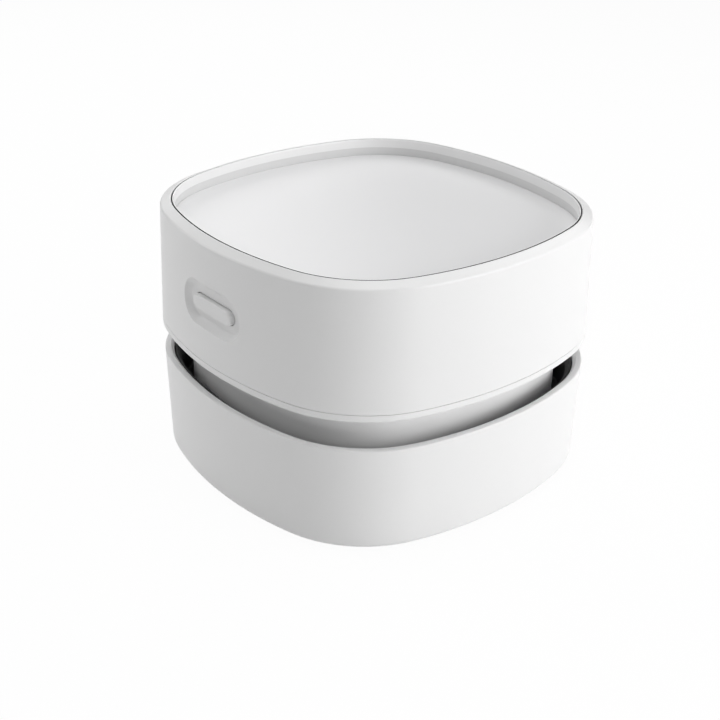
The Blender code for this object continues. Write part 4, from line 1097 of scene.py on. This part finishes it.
class DESKVAC_OT_neck(bpy.types.Operator):
    """Build the pale neck with its air ports, ledge and screw lugs"""

    bl_idname = "deskvac.neck"
    bl_label = "Neck"

    def execute(self, context):
        neck, edge = group_of("neck"), group_of("body").edge
        gap = group_of("body").gap
        low, high = low_corner["neck"].z, high_corner["neck"].z
        inner = neck.inset + neck.wall
        ledge = high_corner["filter_frame"].z + gap
        section = rounded(
            [
                (neck.inset, low, 3 * edge),
                (neck.inset, high, edge),
                (inner, high, edge),
                (inner, ledge + neck.ledge_thickness, edge),
                (inner + neck.ledge_width, ledge + neck.ledge_thickness, edge),
                (inner + neck.ledge_width, ledge, edge),
                (inner, ledge, edge),
                (inner, low, 3 * edge),
            ]
        )
        shape = body_shape(section)
        wall = group_of("body").half_width - neck.inset - neck.wall / 2
        deep = 3 * neck.wall
        ports = []
        for number in range(neck.port_count):
            middle = (number - (neck.port_count - 1) / 2) * neck.port_pitch
            left, right = middle - neck.port_width / 2, middle + neck.port_width / 2
            foot, top = neck.port_low, neck.port_low + neck.port_height
            corners = [(left, foot), (right, foot), (right, top), (left, top)]
            around = rounded([(x, z, 5 * edge) for x, z in corners])
            for side in (-1, 1):
                near, far = side * (wall - deep / 2), side * (wall + deep / 2)
                ports.append(loft([[Vector((x, y, z)) for x, z in around] for y in (near, far)]))
                ports.append(loft([[Vector((y, x, z)) for x, z in around] for y in (near, far)]))
        lugs, holes = [], []
        for number in range(1, 5):
            centre = centre_of(f"case_screw_{number}")
            radius = corner_reach(neck.inset) - neck.wall / 2 - Vector(centre).length
            lugs.append(turned([(radius, high - LUG_THICKNESS), (radius, high)], 48, centre))
            shank = shank_of(f"case_screw_{number}") + gap
            holes.append(turned([(shank, high - LUG_HOLE), (shank, high + OVERCUT)], 32, centre))
        changes = [("UNION", merge(lugs)), ("DIFFERENCE", merge(holes)), ("DIFFERENCE", merge(ports))]
        mesh = fitted("neck", shape, changes)
        place("pale_fan_neck", mesh, pale_neck(), "head", ["neck"], "pale_neck")
        return {"FINISHED"}


class DESKVAC_OT_base(bpy.types.Operator):
    """Build the white base under the head with its motor seat, posts and rails"""

    bl_idname = "deskvac.base"
    bl_label = "Head base"

    def execute(self, context):
        head, edge, gap = group_of("head"), group_of("body").edge, group_of("body").gap
        low = low_corner["head_base"].z
        band = low + head.base_band
        floor = low + head.base_floor
        lip_top = band + gap / 2 + head.base_lip
        lip = head_inset(lip_top) + head.wall + gap
        section = rounded(
            [
                (head_inset(low) + 5 * head.base_edge, low, 0.0),
                (head_inset(low), low, head.base_edge),
                (head_inset(band), band, edge / 4),
                (lip, band, 0.0),
                (lip, lip_top, edge),
                (lip + head.base_lip_wall, lip_top, edge),
                (lip + head.base_lip_wall, floor, edge),
                (lip + 4 * head.base_lip_wall, floor, 0.0),
            ],
            closed=False,
            steps=6,
        )
        shape = body_shape(section, ring=False)
        sunk = low + head.base_floor / 2
        seat = radius_of("motor_can") + gap
        outer, top = seat + SEAT_WALL, floor + SEAT_HEIGHT
        posts = [turned([(seat, sunk), (outer, sunk), (outer, top), (seat, top)], 96, ring=True)]
        holes = [turned([(SHAFT_HOLE, low - OVERCUT), (SHAFT_HOLE, floor + OVERCUT)], 48)]
        for node in ("clamp_screw_1", "clamp_screw_2"):
            centre, top = centre_of(node), high_corner["motor_end_cap"].z
            posts.append(turned([(CLAMP_POST, sunk), (CLAMP_POST, top)], 40, centre))
            hole = [(PILOT_HOLE, top - PILOT_DEPTH), (PILOT_HOLE, top + OVERCUT)]
            holes.append(turned(hole, 32, centre))
        board_low, board_high = low_corner["main_board"], high_corner["main_board"]
        charge_low, charge_high = low_corner["charge_board"], high_corner["charge_board"]
        for side in (-1, 1):
            x, top = side * RAIL_ASIDE, floor + RAIL_HEIGHT
            for y in (board_low.y - gap - RAIL_THICKNESS, board_high.y + gap):
                corner = (x + RAIL_HALF, y + RAIL_THICKNESS, top)
                posts.append(box((x - RAIL_HALF, y, sunk), corner, 2 * edge))
            x, y = (charge_low.x + charge_high.x) / 2, side * (charge_high.y - POST_HALF)
            corner = (x + POST_HALF, y + POST_HALF, charge_low.z - gap)
            posts.append(box((x - POST_HALF, y - POST_HALF, sunk), corner, 2 * edge))
        hole = [(PILOT_HOLE, low - OVERCUT), (PILOT_HOLE, floor + OVERCUT)]
        for number in range(1, 5):
            holes.append(turned(hole, 32, centre_of(f"case_screw_{number}")))
        mesh = fitted("base", shape, [("UNION", merge(posts)), ("DIFFERENCE", merge(holes))])
        place("white_base", mesh, white_shell(), "head", ["head_base"], "white_shell")
        return {"FINISHED"}


# Head, outside


def wall_opening(shape, outer, inner, spot, loops):
    """Open a wall between two grids of vertices and line the opening with loops.

    spot holds the opening's first and last column, its first and last row in each grid, the
    centre height, the core's half length and the turn of the side. loops holds (radius, reach,
    drop): reach gives the distance from the middle for a place across and a height, and drop
    how far the loop lies below the centre height.
    """
    first, last, outer_rows, inner_rows, middle, core, facing = spot
    edges = []
    for grid, (bottom, top) in ((outer, outer_rows), (inner, inner_rows)):
        border = [grid[bottom][column] for column in range(first, last)]
        border += [grid[row][last] for row in range(bottom, top)]
        border += [grid[top][column] for column in range(last, first, -1)]
        border += [grid[row][first] for row in range(top, bottom, -1)]
        edges.append(border)
        for row in range(bottom, top):
            for column in range(first, last):
                corners = grid[row][column : column + 2] + grid[row + 1][column : column + 2][::-1]
                face = shape.faces.get(corners)
                if face is None:
                    raise RuntimeError("the opening's face isn't in the wall")
                shape.faces.remove(face)
    rows = [edges[0]]
    for radius, reach, drop in loops:
        row = []
        for vertex in edges[0]:
            across = facing(vertex.co)
            near = max(-core, min(core, across))
            away = Vector((across - near, vertex.co.z - middle)).normalized() * radius
            x, z = near + away.x, middle - drop + away.y
            row.append(shape.verts.new(facing(x, reach(x, z), z)))
        rows.append(row)
    add_quads(shape, rows + [edges[1]])
    for grid, (bottom, top) in ((outer, outer_rows), (inner, inner_rows)):
        for row in range(bottom + 1, top):
            for column in range(first + 1, last):
                shape.verts.remove(grid[row][column])


def front(across, reach=None, z=None):
    """Place on the -Y side from across, reach and height, or a point's place across it."""
    return across.x if reach is None else Vector((across, -reach, z))


def left(across, reach=None, z=None):
    """Place on the -X side from across, reach and height, or a point's place across it."""
    return -across.y if reach is None else Vector((-reach, -across, z))


class DESKVAC_OT_shell(bpy.types.Operator):
    """Build the head's white shell with its pocket, socket opening, ledge and bosses"""

    bl_idname = "deskvac.shell"
    bl_label = "Upper shell"

    def execute(self, context):
        head, body = group_of("head"), group_of("body")
        low, top = low_corner["upper_shell"].z, high_corner["upper_shell"].z
        edge = body.edge
        first_z = low + 0.0011
        facing = math.radians(90 - head.rim_slope)
        rim = head_inset(top) + head.rim_width
        fall = (head.rim_width - head.rim_edge - head.rim_radius) * math.cos(facing)
        last_z = top - head.rim_edge - (fall + head.rim_radius - head.rim_edge) / math.sin(facing)
        rows = head.wall_rows
        outer = [first_z + (last_z - first_z) * row / rows for row in range(rows + 1)]
        ledge_z = low_corner["top_tray"].z - body.gap
        under = ledge_z - head.ledge_thickness
        slope = under - head.ledge_width
        inner_rows = rows - 2
        inner = [first_z + (slope - first_z) * row / inner_rows for row in range(inner_rows + 1)]
        section = rounded(
            [
                (head_inset(low) + head.wall / 2, low, 0.0),
                (head_inset(low), low, edge / 4),
                (head_inset(first_z), first_z, 0.0),
            ],
            closed=False,
        )
        foot = len(section) - 1
        section = section[:foot] + [(head_inset(z), z) for z in outer[:-1]]
        for radius, inset, z, first, last in (
            (head.rim_radius, head_inset(last_z) + head.rim_radius, last_z, 0.0, facing),
            (head.rim_edge, rim - head.rim_edge, top - head.rim_edge, facing, math.pi),
        ):
            for step in range(15):
                angle = first + (last - first) * step / 14
                section.append((inset - radius * math.cos(angle), z + radius * math.sin(angle)))
        section += rounded(
            [
                (rim, top - head.lip_depth, 0.0),
                (rim - head.lip_slope, top - head.lip_depth - head.lip_slope, 0.0),
                (rim - head.lip_slope, ledge_z, edge),
                (rim + head.ledge_width, ledge_z, edge),
                (rim + head.ledge_width, under, edge),
                (head_inset(slope) + head.wall, slope, 0.0),
            ],
            closed=False,
        )[1:-1]
        start = len(section)
        section += [(head_inset(z) + head.wall, z) for z in reversed(inner)]
        section += rounded(
            [
                (head_inset(first_z) + head.wall, first_z, 0.0),
                (head_inset(low) + head.wall, low, edge),
                (head_inset(low) + head.wall / 2, low, 0.0),
            ],
            closed=False,
        )[1:-1]
        shape = bmesh.new()
        grid = add_loops(shape, [outline(inset, z) for inset, z in section], ring=True)
        outer_grid = grid[foot : foot + rows + 1]
        inner_grid = grid[start : start + inner_rows + 1][::-1]
        per_side = body.side_steps + body.corner_steps
        self.pocket(shape, outer_grid, inner_grid, outer, inner, 3 * per_side + body.side_steps // 2)
        self.socket_opening(shape, outer_grid, inner_grid, outer, inner, 2 * per_side + body.side_steps // 2)
        bmesh.ops.recalc_face_normals(shape, faces=shape.faces)
        mesh = fitted("shell", shape, self.bosses(low))
        place("white_upper_shell", mesh, white_shell(), "head", ["upper_shell"], "white_shell")
        return {"FINISHED"}

    def pocket(self, shape, outer_grid, inner_grid, outer, inner, column):
        """Soft-edged pocket round the button, its hole and the thickened wall behind."""
        head, button = group_of("head"), group_of("button")
        middle = level_of("power_button")
        hole = button.radius + button.gap
        floor = wall_reach(head_inset(middle), 0.0) - button.pocket_depth
        back = floor + button.pocket_depth - head.wall - button.boss

        def across(place, reach=None, z=None):
            return front(place) - button.aside if reach is None else front(place + button.aside, reach, z)

        def wall(x, z):
            return wall_reach(head_inset(z), x + button.aside)

        def inside(x, z):
            return wall_reach(head_inset(z) + head.wall, x + button.aside)

        def share_at(radius):
            share = (button.pocket_radius - radius) / (button.pocket_radius - button.pocket_foot)
            return max(0.0, min(1.0, share))

        def dish(radius):
            share = share_at(radius)
            soft = min(1.0, share / button.pocket_soft)
            sunk = 1 - (1 - share) ** button.pocket_power
            sunk *= soft * (1 + soft * (3 - 2 * soft)) / 2
            return lambda x, z: wall(x, z) + (floor - wall(x, z)) * sunk

        loops = [(button.pocket_radius + 0.0007, wall, 0.0), (button.pocket_radius + 0.0002, wall, 0.0)]
        count = 16
        for step in range(count + 1):
            radius = button.pocket_radius + (button.pocket_foot - button.pocket_radius) * (step / count) ** 1.25
            loops.append((radius, dish(radius), button.drop * share_at(radius)))
        soft = 0.0001
        loops += [
            (hole + soft, lambda x, z: floor, button.drop),
            (hole, lambda x, z: floor - soft, button.drop),
            (hole, lambda x, z: back, button.drop),
            (hole + 0.0010, lambda x, z: back, button.drop),
            (hole + 0.0012, inside, button.drop),
        ]
        outer_rows = self.rows_round(outer, middle, 12)
        inner_rows = self.rows_round(inner, middle, 12)
        spot = (column - 11, column + 11, outer_rows, inner_rows, middle, button.core, across)
        wall_opening(shape, outer_grid, inner_grid, spot, loops)

    def socket_opening(self, shape, outer_grid, inner_grid, outer, inner, column):
        """Oblong opening for the charging socket, with a soft outer edge."""
        head, gap = group_of("head"), group_of("body").gap
        low, high = low_corner["usb_socket"], high_corner["usb_socket"]
        middle = level_of("usb_socket")
        radius = (high.z - low.z) / 2 + gap
        core = high.y - (high.z - low.z) / 2

        def wall(x, z):
            return wall_reach(head_inset(z), x)

        def inside(x, z):
            return wall_reach(head_inset(z) + head.wall, x)

        loops = [(radius + 0.00035, wall, 0.0)]
        for step in range(5):
            angle = math.pi / 2 * step / 4
            rise = 0.0002 * (1 - math.sin(angle))
            deep = 0.0002 * (1 - math.cos(angle))
            loops.append((radius + rise, lambda x, z, deep=deep: wall(x, z) - deep, 0.0))
        loops.append((radius, inside, 0.0))
        outer_rows = self.rows_round(outer, middle, 6)
        inner_rows = self.rows_round(inner, middle, 6)
        spot = (column - 6, column + 6, outer_rows, inner_rows, middle, core, left)
        wall_opening(shape, outer_grid, inner_grid, spot, loops)

    def rows_round(self, heights, middle, count):
        """First and last of a count of rows about a height."""
        starts = range(len(heights) - count)
        first = min(starts, key=lambda row: abs((heights[row] + heights[row + count]) / 2 - middle))
        return first, first + count

    def bosses(self, low):
        """Bosses for the case screws, each with its rib to the corner of the wall."""
        head, body = group_of("head"), group_of("body")
        start = low_corner["head_base"].z + head.base_floor + body.gap
        high = start + 0.012
        parts, holes = [], []
        corner = corner_reach(head_inset(start) + head.wall / 2)
        for number in range(1, 5):
            centre = Vector((*centre_of(f"case_screw_{number}"), 0.0))
            parts.append(turned([(0.0028, start), (0.0028, high)], 40, centre))
            along = centre.normalized()
            across = Vector((-along.y, along.x, 0.0)) * 0.0007
            near, far = centre, along * corner
            sides = [near - across, far - across, far + across, near + across]
            rib = low + head.base_lip + body.gap
            parts.append(loft([[p + Vector((0, 0, z)) for p in sides] for z in (rib, high - body.gap)]))
            hole = [(PILOT_HOLE, start - OVERCUT), (PILOT_HOLE, start + PILOT_DEPTH)]
            holes.append(turned(hole, 32, centre))
        changes = [("UNION", part) for part in parts]
        return changes + [("DIFFERENCE", merge(holes))]


class DESKVAC_OT_tray(bpy.types.Operator):
    """Build the shallow tray and its smooth floor panel"""

    bl_idname = "deskvac.tray"
    bl_label = "Tray and panel"

    def execute(self, context):
        head, edge, gap = group_of("head"), group_of("body").edge, group_of("body").gap
        top = high_corner["upper_shell"].z
        low, high = low_corner["top_tray"].z, high_corner["top_tray"].z
        outer = head_inset(top) + head.rim_width + gap
        inner = outer + head.tray_wall
        step = top - head.tray_upper
        floor = low_corner["top_panel"].z - gap - head.tray_sunk
        lower = inner - head.tray_undercut
        flare = outer - head.lip_slope
        lip = top - head.lip_depth - gap
        section = rounded(
            [
                (outer + 4 * edge, low, 0.0),
                (flare, low, 2 * edge),
                (flare, lip - head.lip_slope, 0.0),
                (outer, lip, 0.0),
                (outer, high - head.tray_edge_drop, edge / 6),
                (outer + head.tray_edge, high - head.tray_edge_drop, edge / 6),
                (inner, high - head.tray_edge_drop - head.tray_edge_slope, edge / 3),
                (inner, step, edge / 3),
                (lower, floor, edge / 2),
                (lower + 5 * edge, floor, 0.0),
            ],
            closed=False,
        )
        tray = to_mesh("tray", body_shape(section, ring=False))
        made = place("white_tray", tray, tray_painted_light_white(), "head", ["top_tray"], "white_shell")
        # Faces of the lower wall take the darker copy of the tray's white, as painted shade
        made.data.materials.append(tray_painted_shade())
        for face in made.data.polygons:
            if floor < face.center.z < step and face.normal.xy.dot(face.center.xy) < 0:
                face.material_index = 1
        # A thin black ring in the groove round the tray, just under the rim: painted shade of the groove
        strip = top - head.groove_shade_drop
        near, far, foot = outer - head.groove_shade_width, outer - edge / 20, strip - head.groove_shade_height
        ring = [(near, strip), (far, strip), (far, foot), (near, foot)]
        attach("tray_groove_shade_strip", to_mesh("gasket", body_shape(ring)), rubber(), "head")
        side = lower + gap / 2
        low, high = (corner["top_panel"].z - head.tray_sunk for corner in (low_corner, high_corner))
        section = rounded(
            [(side + 5 * edge, low, 0.0), (side, low, edge), (side, high, edge), (side + 5 * edge, high, 0.0)],
            closed=False,
        )
        mesh = to_mesh("panel", body_shape(section, ring=False))
        place("smooth_tray_floor", mesh, smooth_panel(), "head", ["top_panel"], "white_panel")
        return {"FINISHED"}


class DESKVAC_OT_button(bpy.types.Operator):
    """Build the oblong push button with its flange behind the wall"""

    bl_idname = "deskvac.button"
    bl_label = "Push button"

    def execute(self, context):
        button = group_of("button")
        low, high = low_corner["power_button"], high_corner["power_button"]
        middle = level_of("power_button")
        flange = button.radius + button.flange
        section = rounded(
            [
                (button.radius * 0.3, low.y + button.sunk, 0.0),
                (button.radius, low.y + button.sunk + button.crown, button.edge),
                (button.radius, high.y - button.flange_thickness, 0.0),
                (flange, high.y - button.flange_thickness, button.edge / 3),
                (flange, high.y, button.edge / 3),
                (flange * 0.5, high.y, 0.0),
            ],
            closed=False,
            steps=7,
        )
        shape = loft([pill(button.core, radius, depth, middle - button.drop) for radius, depth in section])
        for vertex in shape.verts:
            vertex.co.x += button.aside
        place("white_button", to_mesh("button", shape), white_shell(), "button", ["power_button"], "white_shell")
        return {"FINISHED"}


class DESKVAC_OT_socket(bpy.types.Operator):
    """Build the charging socket with its rolled mouth, tongue and contacts"""

    bl_idname = "deskvac.socket"
    bl_label = "Charging socket"

    def execute(self, context):
        low, high = low_corner["usb_socket"], high_corner["usb_socket"]
        middle = level_of("usb_socket")
        radius = (high.z - low.z) / 2
        core = high.y - radius
        wall, edge = 0.00035, group_of("body").edge
        section = rounded(
            [
                (radius, high.x, edge),
                (radius, low.x, edge),
                (radius - wall, low.x, edge),
                (radius - wall, high.x - 2 * wall, edge),
                (radius * 0.3, high.x - 2 * wall, 0.0),
            ],
            closed=False,
        )
        section.insert(0, (radius * 0.3, high.x))
        loops = []
        for around, depth in section:
            loops.append([Vector((depth, -p.x, p.z)) for p in pill(core, around, 0.0, middle)])
        shape = loft(loops)
        mesh = to_mesh("socket", shape)
        place("charging_socket", mesh, steel(), "head", ["usb_socket"], "steel")
        half, thick = 0.0032, 0.00035
        back, tip = high.x - 2 * wall, high.x - 2 * wall - 0.0044
        around = rounded([(tip, -half, 3 * edge), (back, -half, 0.0), (back, half, 0.0), (tip, half, 3 * edge)])
        shape = loft([[Vector((x, y, z)) for x, y in around] for z in (middle - thick, middle + thick)])
        attach("socket_tongue", to_mesh("tongue", shape), black_plastic(), "head")
        shapes = []
        for number in range(8):
            y = (number - 3.5) * 0.00066
            for face in (-1, 1):
                z = middle + face * thick
                near, far = sorted((z - face * 0.00002, z + face * 0.00006))
                shapes.append(box((tip + 0.0004, y - 0.00018, near), (back - 0.0002, y + 0.00018, far)))
        attach("socket_contacts", to_mesh("contacts", merge(shapes)), brass(), "head")
        return {"FINISHED"}


class DESKVAC_OT_inside(bpy.types.Operator):
    """Give the pieces inside their finishes"""

    bl_idname = "deskvac.inside"
    bl_label = "Finishes inside"

    def execute(self, context):
        finish = group_of("finish")
        sleeve = plastic("shrink sleeve", finish.sleeve, 0.32, 0.05, 900.0, 0.1, 0.1, 0.02, IOR=1.5)
        red = plastic("red insulation", finish.red, 0.42, 0.05, 1500.0, 0.1, 0.05, 0.02, IOR=1.5)
        black = plastic("black insulation", finish.black, 0.42, 0.1, 1500.0, 0.1, 0.05, 0.02, IOR=1.5)
        chip = plastic("chip resin", (0.03, 0.03, 0.03), 0.5, 0.1, 3000.0, 0.2, 0.05, 0.03, IOR=1.5)
        surfaces = {
            "filter_frame": grey_plastic(),
            "filter_paper": filter_paper(),
            "fan_shroud": grey_plastic(),
            "impeller": grey_plastic(),
            "impeller_collar": brass(),
            "motor_shaft": steel(),
            "motor_gasket": rubber(),
            "motor_can": steel(),
            "motor_end_cap": black_plastic(),
            "motor_clamp": steel(),
            "battery_cell": sleeve,
            "battery_cradle": black_plastic(),
            "battery_pad": foam(),
            "main_board": circuit_board(),
            "control_chip": chip,
            "switch_body": black_plastic(),
            "switch_plunger": grey_plastic(),
        }
        surfaces["charge_board"] = surfaces["main_board"]
        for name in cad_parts:
            if name.startswith(("case_screw", "clamp_screw")):
                surfaces[name] = dark_steel()
            elif name.endswith("red_lead"):
                surfaces[name] = red
            elif name.endswith("black_lead"):
                surfaces[name] = black
        for name, surface in surfaces.items():
            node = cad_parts[name]
            node.data.materials.clear()
            node.data.materials.append(surface)
        return {"FINISHED"}


# Stage


def aim(made, spot, target):
    """Turn a lamp at spot towards a target."""
    made.location = spot
    made.rotation_euler = (Vector(target) - Vector(spot)).to_track_quat("-Z", "Y").to_euler()


class DESKVAC_OT_stage(bpy.types.Operator):
    """Build the floor, the soft lights and the camera"""

    bl_idname = "deskvac.stage"
    bl_label = "Stage"

    def execute(self, context):
        stage = group_of("stage")
        self.floor(stage)
        self.world(stage)
        self.lights(stage)
        self.camera(stage)
        context.scene.view_settings.view_transform = "Standard"
        return {"FINISHED"}

    def seen(self, nodes):
        """One for rays that the camera, a gloss or glass sends."""
        path = nodes.add("ShaderNodeLightPath")
        either = nodes.math("MAXIMUM", path.outputs["Is Camera Ray"], path.outputs["Is Glossy Ray"])
        return nodes.math("MAXIMUM", either, path.outputs["Is Transmission Ray"])

    def floor(self, stage):
        """Wide pale floor that keeps the shadow."""
        shape = bmesh.new()
        bmesh.ops.create_grid(shape, x_segments=8, y_segments=8, size=3.0)
        made = bpy.data.objects.new("stage_floor", to_mesh("stage_floor", shape))
        bpy.context.scene.collection.objects.link(made)
        surface, nodes, shader = new_material("pale floor", stage.floor, Roughness=0.9)
        shader.inputs["Base Color"].default_value = (*stage.floor, 1.0)
        white = nodes.add("ShaderNodeEmission", {"Color": (1.0, 1.0, 1.0, 1.0), "Strength": 1.0})
        share = nodes.math("MULTIPLY", self.seen(nodes), stage.floor_white)
        mixed = nodes.add("ShaderNodeMixShader", {0: share, 1: shader.outputs[0], 2: white.outputs[0]})
        leave = nodes.tree.nodes["Material Output"]
        nodes.tree.links.new(mixed.outputs[0], leave.inputs["Surface"])
        made.data.materials.append(surface)

    def world(self, stage):
        """Even light, seen as plain white."""
        world = bpy.data.worlds.new("even light")
        world.use_nodes = True
        nodes = Nodes(world.node_tree)
        back = world.node_tree.nodes["Background"]
        back.inputs["Color"].default_value = (1.0, 1.0, 1.0, 1.0)
        path = nodes.add("ShaderNodeLightPath")
        strength = nodes.add(
            "ShaderNodeMapRange", {"Value": path.outputs["Is Camera Ray"], "To Min": stage.sky, "To Max": 1.0}
        )
        world.node_tree.links.new(strength.outputs["Result"], back.inputs["Strength"])
        bpy.context.scene.world = world

    def lights(self, stage):
        """Soft boxes on the right, on the left, behind and above."""
        middle = Vector((0.0, 0.0, 0.03))
        for name, power, turn, lift in (
            ("key_light", stage.key, 105, 12),
            ("rim_light", stage.rim, 130, 20),
            ("fill_light", stage.fill, -55, 32),
            ("low_light", stage.low, -55, 7),
            ("near_light", stage.near, 30, 32),
            ("front_light", stage.front, 50, 60),
            ("top_light", stage.top, 0, 90),
            ("sheen_light", stage.sheen, -130, 50),
            ("back_light", stage.back, -110, 27),
            ("rear_light", stage.rear, 180, 40),
        ):
            data = bpy.data.lights.new(name, "AREA")
            data.shape = "DISK"
            data.size = stage.lamp_size
            data.energy = power
            made = bpy.data.objects.new(name, data)
            bpy.context.scene.collection.objects.link(made)
            turn, lift = math.radians(turn), math.radians(lift)
            away = Vector((math.sin(turn) * math.cos(lift), -math.cos(turn) * math.cos(lift), math.sin(lift)))
            aim(made, middle + away * stage.lamp_distance, middle)

    def camera(self, stage):
        """Camera at the photograph's angle."""
        turn, lift, roll = (math.radians(value) for value in (stage.azimuth, stage.elevation, stage.roll))
        back = Vector((math.sin(turn) * math.cos(lift), -math.cos(turn) * math.cos(lift), math.sin(lift)))
        right = Vector((math.cos(turn), math.sin(turn), 0.0))
        up = back.cross(right)
        across = right * math.cos(roll) + up * math.sin(roll)
        upright = up * math.cos(roll) - right * math.sin(roll)
        target = right * stage.target_side + Vector((0.0, 0.0, stage.target_height))
        data = bpy.data.cameras.new("camera")
        data.sensor_width = 36.0
        data.lens = stage.lens
        data.clip_start = 0.01
        made = bpy.data.objects.new("camera", data)
        bpy.context.scene.collection.objects.link(made)
        axes = Matrix((across, upright, back)).transposed().to_4x4()
        made.matrix_world = Matrix.Translation(target + back * stage.distance) @ axes
        bpy.context.scene.camera = made


class DESKVAC_PT_sidebar(bpy.types.Panel):
    """Lists the sizes, the colours and the steps of the build"""

    bl_idname = "DESKVAC_PT_sidebar"
    bl_label = "Desk vacuum"
    bl_space_type = "VIEW_3D"
    bl_region_type = "UI"
    bl_category = "Desk vacuum"

    def draw(self, context):
        for made in operators:
            self.layout.operator(made.bl_idname)
        for name, kind in groups.items():
            column = self.layout.column(align=True)
            column.label(text=kind.__doc__)
            for label in kind.__annotations__:
                column.prop(getattr(context.scene, "deskvac_" + name), label)


groups = {
    "body": DESKVAC_PG_body,
    "cup": DESKVAC_PG_cup,
    "neck": DESKVAC_PG_neck,
    "head": DESKVAC_PG_head,
    "button": DESKVAC_PG_button,
    "finish": DESKVAC_PG_finish,
    "stage": DESKVAC_PG_stage,
}

operators = (
    DESKVAC_OT_cup,
    DESKVAC_OT_bin,
    DESKVAC_OT_underside,
    DESKVAC_OT_neck,
    DESKVAC_OT_base,
    DESKVAC_OT_shell,
    DESKVAC_OT_tray,
    DESKVAC_OT_button,
    DESKVAC_OT_socket,
    DESKVAC_OT_inside,
    DESKVAC_OT_stage,
)


def register():
    """Register the groups, the operators and the panel."""
    for name, kind in groups.items():
        bpy.utils.register_class(kind)
        setattr(bpy.types.Scene, "deskvac_" + name, PointerProperty(type=kind))
    for kind in operators + (DESKVAC_PT_sidebar,):
        bpy.utils.register_class(kind)


def unregister():
    """Take back what register added."""
    for kind in (DESKVAC_PT_sidebar,) + operators[::-1]:
        bpy.utils.unregister_class(kind)
    for name, kind in groups.items():
        delattr(bpy.types.Scene, "deskvac_" + name)
        bpy.utils.unregister_class(kind)


def main():
    """Register the groups, the operators and the panel, then build everything."""
    register()
    bpy.ops.deskvac.cup()
    bpy.ops.deskvac.dust_bin()
    bpy.ops.deskvac.underside()
    bpy.ops.deskvac.neck()
    bpy.ops.deskvac.base()
    bpy.ops.deskvac.shell()
    bpy.ops.deskvac.tray()
    bpy.ops.deskvac.button()
    bpy.ops.deskvac.socket()
    bpy.ops.deskvac.inside()
    bpy.ops.deskvac.stage()


if __name__ == "__main__":
    main()
